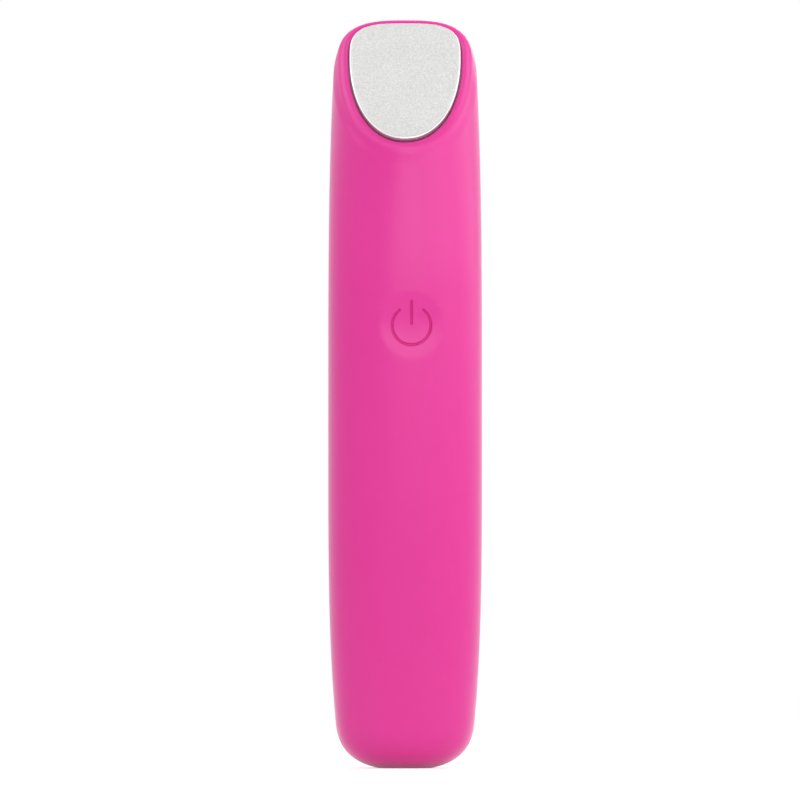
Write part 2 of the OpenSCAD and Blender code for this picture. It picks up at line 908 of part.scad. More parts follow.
module socket_tongue() {
    color(black)
        block(-3.35, 3.35, socket_y0 + 0.6, socket_y1 - 1.5, port_z - 0.35, port_z + 0.35);
}

// Back surface of the body over the port, set in by d.
function rear_y(x, z, d) =
    (half_d(z) - d) * pow(1 - pow(min(0.999, abs(x) / (half_w(z) - d)), section_n), 1 / section_n);
cover_nx = 14;
cover_nz = 5;
module cover_patch() {
    x1 = cover_w / 2 + 0.5;
    z0 = cover_axis_z;
    z1 = cover_top_z + 0.5;
    side = [
        for (d = [0, cover_t], j = [0 : cover_nz], i = [0 : cover_nx])
            let (x = mix(-x1, x1, i / cover_nx), z = mix(z0, z1, j / cover_nz))
            [x, rear_y(x, z, d), z]
    ];
    w = cover_nx + 1;
    m = w * (cover_nz + 1);
    faces = concat(
        [
            for (j = [0 : cover_nz - 1], i = [0 : cover_nx - 1])
                let (a = j * w + i)
                each [[a, a + 1, a + w + 1], [a, a + w + 1, a + w]]
        ],
        [
            for (j = [0 : cover_nz - 1], i = [0 : cover_nx - 1])
                let (a = m + j * w + i)
                each [[a, a + w + 1, a + 1], [a, a + w, a + w + 1]]
        ],
        [
            for (i = [0 : cover_nx - 1])
                let (a = i, b = m + i)
                each [[a, b + 1, a + 1], [a, b, b + 1]]
        ],
        [
            for (i = [0 : cover_nx - 1])
                let (a = cover_nz * w + i, b = m + a)
                each [[a, a + 1, b + 1], [a, b + 1, b]]
        ],
        [
            for (j = [0 : cover_nz - 1])
                let (a = j * w, b = m + a)
                each [[a, a + w, b + w], [a, b + w, b]]
        ],
        [
            for (j = [0 : cover_nz - 1])
                let (a = j * w + cover_nx, b = m + a)
                each [[a, b + w, a + w], [a, b, b + w]]
        ]
    );
    polyhedron(side, faces);
}

module port_cover() {
    color(silicone)
        union() {
            intersection() {
                cover_patch();
                round_rect(-cover_w / 2, cover_w / 2, cover_axis_z - 4, cover_top_z, 0, body_d, 1.4);
            }
            translate([-cover_w / 2 + 3.5, cover_axis_y, cover_axis_z])
                rotate([0, 90, 0])
                    cylinder(h = cover_w - 7, r = barrel_r);
            round_bar(plug_w, plug_h, socket_y1 - plug_in, port_skin_y - cover_t + 0.3, port_z);
        }
}

// ---------------------------------------------------------------- leads
lead_r = 0.45;
lead_y = board_back + 1.15;
side_y = cell_y - cell_d / 2 + 2.7;
module battery_leads() {
    color([0.8, 0.1, 0.1])
        for (x = [-3.6, -2.6])
            wire([
                [x, cell_y + 1, cell_z1 + 1.5],
                [x, cell_y - 1.5, cell_z1 + 1.9],
                [x, board_back + 1.6, board_z0 - 1.2],
                [x, lead_y, board_z0 + 0.6],
                [x, lead_y, board_z0 + 2.5]
            ], lead_r);
}

module charge_leads() {
    color([0.15, 0.15, 0.17])
        for (j = [0, 1])
            let (x = 2.6 + j, w = x + 0.35 * j)
            wire([
                [x, socket_y0 - 4, charge_board_z + charge_board_t + 0.1],
                [w + 0.2, socket_y0 - 4.4, low_screw_z - 2],
                [w + 0.6, side_y - 2.2, cell_z0 - 0.6],
                [w + 2.8, side_y - 1.4, cell_z0 + 4],
                [w + 4.2, side_y, cell_z0 + 8],
                [w + 4.2, side_y, mix(cell_z0, cell_z1, 0.5)],
                [w + 4.2, side_y, cell_z1 - 5],
                [w + 3.3, side_y - 0.9, cell_z1 - 1],
                [w + 2.1, side_y - 0.6, cell_z1 + 0.8],
                [w + 0.4, board_back + 0.6, board_z0 - 0.5],
                [x, lead_y, board_z0 + 0.8],
                [x, lead_y, board_z0 + 2.5]
            ], lead_r);
}

module motor_leads() {
    color([0.1, 0.25, 0.7])
        for (s = [-1, 1])
            wire([
                [s * 2.2, motor_y, motor_z0 - 0.05],
                [s * 2.2, motor_y - 0.6, motor_z0 - 1.4],
                [s * 2.4, motor_y - 2.6, motor_z0 - 3],
                [s * 3, board_back + 0.5, button_z + 7.4]
            ], lead_r);
}

module heater_leads() {
    color([0.9, 0.9, 0.88])
        for (s = [-1, 1])
            wire([
                head_pt(s * 1.2, -6, flange_low - 1.6),
                head_pt(s * 1.6, -6.6, shell_top - 2),
                [s * 4.6, board_y + 3.4, weight_z0 + weight_h + 2.4],
                [s * 5.7, board_y + 1.4, weight_z0 + 0.6],
                [s * 5.3, board_y + 0.8, top_screw_z + 2.6],
                [s * 5.1, board_y + 0.6, top_screw_z - 1.5],
                [s * 5, board_y + 1.1, top_screw_z - 4.5],
                [s * 4.6, board_back + 0.9, board_z1 + 1],
                [s * 4.2, board_back + 0.5, board_z1 - 4.5]
            ], lead_r);
}

silicone_sleeve();
power_button();
button_keycap();
switch_stem();
tact_switch();
front_shell();
rear_shell();
case_screws();
massage_plate();
plate_seal();
heater_film();
thermistor();
heat_insulator();
head_carrier();
motor_can();
motor_end_cap();
motor_bearing();
motor_shaft();
eccentric_weight();
motor_cradle();
battery_cell();
battery_tabs();
battery_protection_board();
battery_foam();
main_board();
controller_chip();
driver_chips();
board_passives();
board_sockets();
status_led();
board_screws();
charge_board();
charge_chip();
charge_socket();
socket_tongue();
port_cover();
battery_leads();
charge_leads();
motor_leads();
heater_leads();
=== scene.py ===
"""Looks of a slim heated massage wand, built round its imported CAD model.

The wand stands on its tail. Its soft skin, thumb button, metal plate and port flap are
new surfaces worked out with numpy, and every other piece keeps its CAD mesh and gets a
procedural finish. Lengths in the classes are millimetres, and meshes are in metres.
"""
import json
import logging
import math
from dataclasses import dataclass, field
from enum import Enum
from typing import Any, Callable, Iterable

import bpy
import numpy as np
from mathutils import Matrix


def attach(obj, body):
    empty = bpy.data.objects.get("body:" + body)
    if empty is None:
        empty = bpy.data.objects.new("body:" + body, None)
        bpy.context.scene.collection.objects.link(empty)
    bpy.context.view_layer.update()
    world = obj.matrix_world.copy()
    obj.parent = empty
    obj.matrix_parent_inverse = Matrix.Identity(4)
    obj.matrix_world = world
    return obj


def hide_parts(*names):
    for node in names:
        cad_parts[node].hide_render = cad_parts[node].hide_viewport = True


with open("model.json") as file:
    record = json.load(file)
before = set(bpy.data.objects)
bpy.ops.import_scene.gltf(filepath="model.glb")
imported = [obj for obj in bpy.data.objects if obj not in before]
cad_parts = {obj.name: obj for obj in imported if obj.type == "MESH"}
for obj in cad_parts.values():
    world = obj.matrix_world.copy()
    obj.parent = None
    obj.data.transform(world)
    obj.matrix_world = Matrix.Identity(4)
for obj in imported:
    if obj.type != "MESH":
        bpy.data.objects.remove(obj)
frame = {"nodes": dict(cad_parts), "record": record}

LOG = logging.getLogger("wand")
MM = 0.001
Array = np.ndarray
Colour = tuple[float, float, float]
Towards = Callable[[Array], Array]


def linear(red: float, green: float, blue: float) -> Colour:
    """Colour of a display, 0 to 255, as linear light: c/12.92 or ((c + 0.055)/1.055)^2.4.

    Args:
        red: Red, 0 to 255.
        green: Green, 0 to 255.
        blue: Blue, 0 to 255.

    Returns:
        The three linear values, 0 to 1.
    """
    def one(c: float) -> float:
        """One channel."""
        c /= 255.0
        return c / 12.92 if c <= 0.04045 else ((c + 0.055) / 1.055) ** 2.4
    return one(red), one(green), one(blue)


# --- shader maths
def _operator(operation: str, swapped: bool = False) -> Callable[["Wire", Any], "Wire"]:
    """A method that adds one Math node, with the wire on the right where it is swapped."""
    def method(wire: "Wire", other: Any) -> "Wire":
        """The operation's result."""
        return wire.apply(operation, *((other, wire) if swapped else (wire, other)))
    return method


class Wire:
    """A shader socket whose arithmetic adds Math nodes to its tree."""

    def __init__(self, tree: bpy.types.NodeTree, socket: bpy.types.NodeSocket) -> None:
        """Holds the tree and one output socket."""
        self.tree = tree
        self.socket = socket

    def apply(self, operation: str, *values: Any) -> "Wire":
        """One Math node of an operation on numbers or wires."""
        node = self.tree.nodes.new("ShaderNodeMath")
        node.operation = operation
        for index, value in enumerate(values):
            if isinstance(value, Wire):
                self.tree.links.new(value.socket, node.inputs[index])
            else:
                node.inputs[index].default_value = float(value)
        return Wire(self.tree, node.outputs[0])

    __add__, __radd__ = _operator("ADD"), _operator("ADD", swapped=True)
    __sub__, __rsub__ = _operator("SUBTRACT"), _operator("SUBTRACT", swapped=True)
    __mul__, __rmul__ = _operator("MULTIPLY"), _operator("MULTIPLY", swapped=True)

    def fract(self) -> "Wire":
        """What is left after the whole part."""
        return self.apply("FRACT", self)

    def above(self, limit: float) -> "Wire":
        """1 where the value is over a limit, otherwise 0."""
        return self.apply("GREATER_THAN", self, limit)

    def capped(self) -> "Wire":
        """The value held between 0 and 1."""
        node = self.tree.nodes.new("ShaderNodeClamp")
        self.tree.links.new(self.socket, node.inputs[0])
        return Wire(self.tree, node.outputs[0])


class Shade:
    """A node tree under construction, of a material or of the world."""

    def __init__(self, owner: bpy.types.Material | bpy.types.World) -> None:
        """Starts with the owner's tree, emptied."""
        owner.use_nodes = True
        self.owner = owner
        self.tree = owner.node_tree
        self.tree.nodes.clear()

    def node(self, kind: str, settings: dict[str, Any] | None = None,
             inputs: dict[Any, Any] | None = None) -> bpy.types.Node:
        """Adds one node.

        Args:
            kind: The node's Blender type.
            settings: Properties, set first. "stops" is a list of (place, colour) of a ramp.
            inputs: Values or wires by socket name or number.

        Returns:
            The new node.
        """
        made = self.tree.nodes.new(kind)
        for key, value in (settings or {}).items():
            if key == "stops":
                ramp = made.color_ramp
                while len(ramp.elements) > 1:
                    ramp.elements.remove(ramp.elements[-1])
                for index, (place, colour) in enumerate(value):
                    stop = ramp.elements[0] if index == 0 else ramp.elements.new(place)
                    stop.position = place
                    stop.color = (*colour, 1.0)
            else:
                setattr(made, key, value)
        for key, value in (inputs or {}).items():
            if isinstance(value, Wire):
                self.tree.links.new(value.socket, made.inputs[key])
            elif isinstance(value, tuple) and made.inputs[key].type == "RGBA":
                made.inputs[key].default_value = (*value, 1.0)
            else:
                made.inputs[key].default_value = value
        return made

    def wire(self, made: bpy.types.Node, output: Any = 0) -> Wire:
        """One output of a node as a wire."""
        return Wire(self.tree, made.outputs[output])

    def place(self) -> Wire:
        """The point on the object, in metres."""
        return self.wire(self.node("ShaderNodeTexCoord"), "Object")

    def axes(self) -> tuple[Wire, Wire, Wire]:
        """The three coordinates of the point on the object."""
        made = self.node("ShaderNodeSeparateXYZ", inputs={0: self.place()})
        return self.wire(made, 0), self.wire(made, 1), self.wire(made, 2)

    def noise(self, per_metre: float, detail: float = 2.0,
              stretch: tuple[float, float, float] = (1.0, 1.0, 1.0)) -> Wire:
        """Noise of a scale per metre, stretched along the axes."""
        point = self.place()
        if stretch != (1.0, 1.0, 1.0):
            point = self.wire(self.node("ShaderNodeMapping", inputs={0: point, 3: stretch}))
        made = self.node("ShaderNodeTexNoise",
                         inputs={"Vector": point, "Scale": per_metre, "Detail": detail})
        return self.wire(made, 0)

    def cells(self, per_metre: float) -> Wire:
        """Distance to the nearest of scattered points, of a scale per metre."""
        made = self.node("ShaderNodeTexVoronoi",
                         inputs={"Vector": self.place(), "Scale": per_metre})
        return self.wire(made, "Distance")

    def attribute(self, name: str) -> Wire:
        """A value kept on the mesh."""
        return self.wire(self.node("ShaderNodeAttribute", {"attribute_name": name}), "Fac")

    def mix(self, factor: Wire, first: Any, second: Any) -> Wire:
        """Colour between two colours by a factor from 0 to 1."""
        made = self.node("ShaderNodeMix", {"data_type": "RGBA"},
                         {0: factor, 6: first, 7: second})
        return self.wire(made, 2)

    def seen(self) -> Wire:
        """1 for rays from the camera, mirrored rays and rays sent through, otherwise 0."""
        path = self.node("ShaderNodeLightPath")
        return (self.wire(path, "Is Camera Ray") + self.wire(path, "Is Glossy Ray")
                + self.wire(path, "Is Transmission Ray")).capped()

    def bump(self, height: Wire, depth: float, strength: float,
             under: Wire | None = None) -> Wire:
        """Normal pushed by a height of 0 to 1 times a depth in metres."""
        inputs: dict[Any, Any] = {"Strength": strength, "Distance": depth, "Height": height}
        if under is not None:
            inputs["Normal"] = under
        return self.wire(self.node("ShaderNodeBump", inputs=inputs))

    def finish(self, **sockets: Any) -> bpy.types.Material:
        """Puts the Principled shader at the end.

        Args:
            **sockets: Socket names, with _ for a space, and values or wires.

        Returns:
            The finished material.
        """
        inputs = {key.replace("_", " "): value for key, value in sockets.items()}
        shader = self.node("ShaderNodeBsdfPrincipled", inputs=inputs)
        self.node("ShaderNodeOutputMaterial", inputs={"Surface": self.wire(shader)})
        return self.owner


# --- finishes
def dimmed(colour: Colour, share: float) -> Colour:
    """A share of a colour."""
    return tuple(share * c for c in colour)


class Coating:
    """What all finishes share: each wires its own sockets, and build makes the material."""

    def sockets(self, s: Shade) -> dict[str, Any]:
        """What goes into the shader's sockets, by name with _ for a space."""
        raise NotImplementedError

    def build(self, name: str) -> bpy.types.Material:
        """The material of this finish."""
        s = Shade(bpy.data.materials.new(name))
        return s.finish(**self.sockets(s))


@dataclass(frozen=True)
class SoftSkin(Coating):
    """Matte silicone: faint mottling, a fine satin grain and a pale bloom at its edges."""

    colour: Colour = linear(228, 51, 154)
    shade: Colour = linear(222, 43, 146)
    # Painted shade: a darker pink for the floor of the power mark's groove.
    crevice: Colour = linear(206, 18, 128)
    roughness: float = 0.31
    bloom: float = 0.06

    def sockets(self, s: Shade) -> dict[str, Any]:
        """What goes into the shader's sockets."""
        mottle = s.noise(38.0, 3.0)
        fine = s.noise(420.0, 2.0)
        grain = s.noise(7200.0, 2.0)
        colour = s.mix((mottle * 0.55 + fine * 0.45).capped(), self.shade, self.colour)
        # Painted shade: the groove mask darkens the pink on the power mark's groove.
        colour = s.mix(s.attribute("groove"), colour, self.crevice)
        normal = s.bump(grain, 0.00002, 0.35, s.bump(fine, 0.00006, 0.12))
        return dict(Base_Color=colour, Roughness=self.roughness - 0.05 + fine * 0.1,
                    Specular_IOR_Level=0.42, Sheen_Weight=self.bloom,
                    Sheen_Roughness=0.38, Sheen_Tint=(1.0, 0.86, 0.93),
                    Normal=normal)


@dataclass(frozen=True)
class BlastedMetal(Coating):
    """Light metal with a bead-blasted face, and a polished edge where a mask is 1."""

    colour: Colour = linear(216, 216, 214)
    dark: Colour = linear(186, 186, 185)
    polished: Colour = linear(216, 216, 215)

    def sockets(self, s: Shade) -> dict[str, Any]:
        """What goes into the shader's sockets."""
        grain = s.noise(3600.0, 2.0)
        pits = s.cells(3400.0)
        cloud = s.noise(150.0, 3.0)
        edge = s.attribute("polish")
        speck = ((grain - 0.32) * 2.6).capped() * 0.75 + cloud * 0.25
        face = s.mix(speck, self.dark, self.colour)
        rough = (0.42 + grain * 0.14) * (1 - edge) + 0.16 * edge
        normal = s.bump((grain * 0.7 + pits * 0.3) * (1 - edge), 0.00003, 0.35)
        return dict(Base_Color=s.mix(edge, face, self.polished), Metallic=1.0,
                    Roughness=rough, Normal=normal)


@dataclass(frozen=True)
class Moulded(Coating):
    """Moulded plastic: satin spark texture, slight cloudiness of the tone."""

    colour: Colour
    roughness: float = 0.42
    texture: float = 1.0

    def sockets(self, s: Shade) -> dict[str, Any]:
        """What goes into the shader's sockets."""
        cloud = s.noise(90.0, 3.0)
        spark = s.noise(3600.0, 2.0)
        darker = dimmed(self.colour, 0.86)
        normal = s.bump(spark, 0.00002 * self.texture, 0.5)
        return dict(Base_Color=s.mix(cloud, darker, self.colour),
                    Roughness=self.roughness - 0.06 + spark * 0.12, Normal=normal)


@dataclass(frozen=True)
class Plated(Coating):
    """Plated or drawn metal: fine lines along one axis and small stains."""

    colour: Colour
    roughness: float = 0.28
    stretch: tuple[float, float, float] = (1.0, 1.0, 0.08)

    def sockets(self, s: Shade) -> dict[str, Any]:
        """What goes into the shader's sockets."""
        lines = s.noise(4200.0, 2.0, self.stretch)
        stain = s.noise(260.0, 4.0)
        darker = dimmed(self.colour, 0.8)
        normal = s.bump(lines, 0.00001, 0.4)
        return dict(Base_Color=s.mix((stain * 0.6 + lines * 0.4).capped(),
                                     darker, self.colour),
                    Metallic=1.0, Roughness=self.roughness - 0.08 + stain * 0.16,
                    Normal=normal)


@dataclass(frozen=True)
class Sintered(Coating):
    """Pressed and sintered metal: open pores and a dull, uneven tone."""

    colour: Colour
    roughness: float = 0.55

    def sockets(self, s: Shade) -> dict[str, Any]:
        """What goes into the shader's sockets."""
        pores = (s.cells(3000.0) * 1.8).capped()
        cloud = s.noise(500.0, 3.0)
        darker = dimmed(self.colour, 0.55)
        return dict(Base_Color=s.mix((pores * 0.5 + cloud * 0.5).capped(),
                                     darker, self.colour),
                    Metallic=0.9, Roughness=self.roughness + pores * -0.12,
                    Normal=s.bump(pores, 0.00003, 0.6))


@dataclass(frozen=True)
class Foam(Coating):
    """Closed-cell foam or soft rubber: small cells pressed into the surface."""

    colour: Colour
    cell_rate: float = 2600.0
    depth: float = 0.00006

    def sockets(self, s: Shade) -> dict[str, Any]:
        """What goes into the shader's sockets."""
        cell = (s.cells(self.cell_rate) * 1.6).capped()
        cloud = s.noise(240.0, 3.0)
        darker = dimmed(self.colour, 0.62)
        return dict(Base_Color=s.mix((cell * 0.55 + cloud * 0.45).capped(),
                                     darker, self.colour),
                    Roughness=0.78 + cloud * 0.12, Normal=s.bump(cell, self.depth, 0.7))


@dataclass(frozen=True)
class Laminate(Coating):
    """Circuit board: lacquer over copper tracks with bright solder dots."""

    lacquer: Colour = linear(18, 92, 58)
    track: Colour = linear(34, 128, 82)
    solder: Colour = linear(205, 205, 200)
    pitch: float = 900.0

    def sockets(self, s: Shade) -> dict[str, Any]:
        """What goes into the shader's sockets."""
        x, _, z = s.axes()
        bend = s.noise(140.0, 1.0)
        lines = ((x * self.pitch + bend * 3.0).fract() - 0.62).above(0.0)
        lanes = ((z * 210.0 + bend).fract() - 0.4).above(0.0)
        tracks = lines * lanes
        dots = 1 - s.cells(640.0).above(0.16)
        fibre = s.noise(2400.0, 2.0)
        board = s.mix((tracks * 0.8 + fibre * 0.2).capped(), self.lacquer, self.track)
        normal = s.bump((tracks * 0.6 + dots).capped(), 0.00003, 0.6)
        return dict(Base_Color=s.mix(dots, board, self.solder),
                    Metallic=dots * 0.9, Roughness=0.3 + fibre * 0.12, Normal=normal)


@dataclass(frozen=True)
class HeaterFilm(Coating):
    """Amber film with a copper track that runs to and fro under it."""

    amber: Colour = linear(176, 108, 40)
    copper: Colour = linear(212, 132, 92)

    def sockets(self, s: Shade) -> dict[str, Any]:
        """What goes into the shader's sockets."""
        x, _, z = s.axes()
        runs = ((z * 620.0).fract() - 0.5).above(0.0)
        edge = (x * x * 14000.0).capped()
        track = (runs * (1 - edge)).capped()
        ripple = s.noise(900.0, 2.0)
        return dict(Base_Color=s.mix(track, self.amber, self.copper),
                    Metallic=track * 0.7, Roughness=0.24 + ripple * 0.14,
                    Normal=s.bump(track + ripple * 0.2, 0.00003, 0.5))


@dataclass(frozen=True)
class ShrinkWrap(Coating):
    """Thin coloured wrap shrunk over a metal can, with soft wrinkles and its rim showing."""

    colour: Colour = linear(34, 88, 176)
    dark: Colour = linear(20, 58, 128)

    def sockets(self, s: Shade) -> dict[str, Any]:
        """What goes into the shader's sockets."""
        wrinkle = s.noise(520.0, 3.0, (1.0, 1.0, 0.22))
        cloud = s.noise(120.0, 2.0)
        return dict(Base_Color=s.mix(cloud, self.dark, self.colour),
                    Roughness=0.2 + wrinkle * 0.16, Coat_Weight=0.4,
                    Coat_Roughness=0.15, Normal=s.bump(wrinkle, 0.00005, 0.5))


@dataclass(frozen=True)
class Insulation(Coating):
    """Extruded wire insulation: fine drawn lines and handling marks."""

    colour: Colour

    def sockets(self, s: Shade) -> dict[str, Any]:
        """What goes into the shader's sockets."""
        drawn = s.noise(5200.0, 2.0, (1.0, 1.0, 0.1))
        marks = s.noise(700.0, 3.0)
        darker = dimmed(self.colour, 0.7)
        return dict(Base_Color=s.mix(marks, darker, self.colour),
                    Roughness=0.38 + marks * 0.14, Normal=s.bump(drawn, 0.00001, 0.4))


@dataclass(frozen=True)
class Lens(Coating):
    """Clear resin over a pale yellow phosphor."""

    colour: Colour = linear(244, 232, 160)

    def sockets(self, s: Shade) -> dict[str, Any]:
        """What goes into the shader's sockets."""
        phosphor = s.noise(2600.0, 2.0)
        return dict(Base_Color=s.mix(phosphor, self.colour, (0.95, 0.95, 0.9)),
                    Roughness=0.12 + phosphor * 0.08, Coat_Weight=0.6,
                    Normal=s.bump(phosphor, 0.00001, 0.3))


class Finish(Enum):
    """Every finish of the wand, by the record's material slot."""

    silicone = SoftSkin()
    plate_metal = BlastedMetal()
    abs_white = Moulded(linear(236, 236, 232))
    black_plastic = Moulded(linear(34, 34, 37), 0.38)
    carrier_plastic = Moulded(linear(212, 206, 188), 0.5)
    socket_plastic = Moulded(linear(238, 230, 204), 0.35)
    passive_ceramic = Moulded(linear(168, 132, 94), 0.5, 2.0)
    steel = Plated(linear(200, 202, 206))
    nickel = Plated(linear(214, 210, 198), 0.22, (0.08, 1.0, 1.0))
    bearing_bronze = Sintered(linear(196, 142, 82))
    weight_metal = Sintered(linear(150, 150, 154), 0.5)
    seal_rubber = Foam(linear(44, 44, 46), 3600.0, 0.00002)
    insulator_foam = Foam(linear(168, 166, 160))
    board_green = Laminate()
    heater_copper = HeaterFilm()
    cell_wrap = ShrinkWrap()
    led_lens = Lens()
    red_wire = Insulation(linear(196, 28, 30))
    black_wire = Insulation(linear(38, 38, 42))
    blue_wire = Insulation(linear(34, 72, 178))
    white_wire = Insulation(linear(228, 228, 222))


class Palette:
    """Makes each finish's material once and hands it out."""

    def __init__(self) -> None:
        """Starts empty."""
        self.made: dict[Finish, bpy.types.Material] = {}

    def get(self, finish: Finish) -> bpy.types.Material:
        """The material of a finish.

        Args:
            finish: Which finish.

        Returns:
            Its material, made on first use.
        """
        if finish not in self.made:
            self.made[finish] = finish.value.build(finish.name)
        return self.made[finish]


# --- meshes
def around(count: int) -> Array:
    """Even angles round a circle."""
    return np.arange(count) * 2 * math.pi / count


def strip(lower: Array, upper: Array) -> Array:
    """Quads between two closed rings of point numbers."""
    return np.stack([lower, np.roll(lower, -1), np.roll(upper, -1), upper], 1)


class Surface:
    """Points and faces of one piece, gathered as arrays before they become a mesh."""

    def __init__(self) -> None:
        """Starts with nothing."""
        self.points: list[Array] = []
        self.faces: list[Array] = []
        self.count = 0

    def add(self, points: Array) -> Array:
        """Adds points of shape (..., 3) and returns their numbers in the same shape."""
        flat = points.reshape(-1, 3)
        numbers = np.arange(self.count, self.count + len(flat))
        self.points.append(flat)
        self.count += len(flat)
        return numbers.reshape(points.shape[:-1])

    def band(self, lower: Array, upper: Array, towards: Towards | None = None) -> None:
        """Quads between two closed rings of equal count, turned to face a direction.

        Args:
            lower: Point numbers of the first ring.
            upper: Point numbers of the second ring.
            towards: Gives the wanted direction at face centres, or None to keep the order.
        """
        self.quads(strip(lower, upper), towards)

    def carry(self, last: Array, rings: Iterable[Array], towards: Towards) -> Array:
        """Adds rings of points, each joined by a band to the one before it.

        Args:
            last: Point numbers of the ring they start from.
            rings: The points of each further ring.
            towards: Gives the wanted direction at face centres.

        Returns:
            Point numbers of the last ring.
        """
        for points in rings:
            now = self.add(points)
            self.band(last, now, towards)
            last = now
        return last

    def quads(self, quads: Array, towards: Towards | None = None) -> None:
        """Adds quads or triangles, reversed as a whole where they face away.

        Args:
            quads: Point numbers, one face a row.
            towards: Gives the wanted direction at face centres, or None to keep the order.
        """
        if towards is not None:
            every = np.concatenate(self.points)
            corner = every[quads]
            normal = np.cross(corner[:, 1] - corner[:, 0], corner[:, 2] - corner[:, 0])
            if np.sum(normal * towards(corner.mean(1))) < 0:
                quads = quads[:, ::-1]
        self.faces.append(quads)

    def fan(self, ring: Array, centre: Array, towards: Towards) -> None:
        """Closes a ring with triangles to one centre point."""
        middle = self.add(centre.reshape(1, 3))[0]
        triangles = np.stack([ring, np.roll(ring, -1), np.full_like(ring, middle)], 1)
        self.quads(triangles, towards)

    def make(self, name: str, material: bpy.types.Material, sharp: float = 40.0,
             masks: dict[str, Array] | None = None) -> bpy.types.Object:
        """Turns the gathered points, in millimetres, into a smooth-shaded object.

        Args:
            name: Object name.
            material: Its material.
            sharp: Edges over this angle in degrees stay sharp.
            masks: Values kept on the points, by attribute name.

        Returns:
            The object, at the origin.
        """
        mesh = bpy.data.meshes.new(name)
        points = np.concatenate(self.points) * MM
        faces = [row for block in self.faces for row in block.tolist()]
        mesh.from_pydata(points.tolist(), [], faces)
        mesh.polygons.foreach_set("use_smooth", np.ones(len(mesh.polygons), bool))
        mesh.set_sharp_from_angle(angle=math.radians(sharp))
        for key, values in (masks or {}).items():
            mesh.attributes.new(key, "FLOAT", "POINT").data.foreach_set(
                "value", values.astype(np.float32))
        mesh.materials.append(material)
        mesh.validate()
        mesh.update()
        made = bpy.data.objects.new(name, mesh)
        bpy.context.scene.collection.objects.link(made)
        return made


def facing(x: float, y: float, z: float) -> Towards:
    """A direction that is the same at every face."""
    return lambda centres: np.broadcast_to(np.array([x, y, z]), centres.shape)


def away_from(x: float, y: float, z: float, outward: float = 1.0) -> Towards:
    """The direction from a point to the face, or back to it where outward is -1."""
    return lambda centres: outward * (centres - np.array([x, y, z]))


def smooth(share: Array) -> Array:
    """Smoothstep 3t^2 - 2t^3 of a share t."""
    return share * share * (3 - 2 * share)


def spline_rings(control: Array, coarse: int, change: int, fine: int) -> Array:
    """Rings on a cubic B-spline through each column of control rings.

    A ring at share t of a gap is a sum of four controls with the weights (1 - t)^3/6,
    (3t^3 - 6t^2 + 4)/6, (-3t^3 + 3t^2 + 3t + 1)/6 and t^3/6.

    Args:
        control: Shape (rings, columns, 3).
        coarse: New rings in each gap before the change.
        change: The control ring at which the gaps get more rings.
        fine: New rings in each gap after it.

    Returns:
        The rings, shape (n, columns, 3).
    """
    out = []
    for i in range(1, len(control) - 2):
        steps = coarse if i < change - 3 else fine
        t = np.linspace(0, 1, steps, endpoint=False)[:, None, None]
        p0, p1, p2, p3 = control[i - 1:i + 3]
        out.append((p0 * (1 - t) ** 3 + p1 * (3 * t ** 3 - 6 * t ** 2 + 4)
                    + p2 * (-3 * t ** 3 + 3 * t ** 2 + 3 * t + 1) + p3 * t ** 3) / 6)
    out.append((control[-3:-2] + 4 * control[-2:-1] + control[-1:]) / 6)
    return np.concatenate(out)


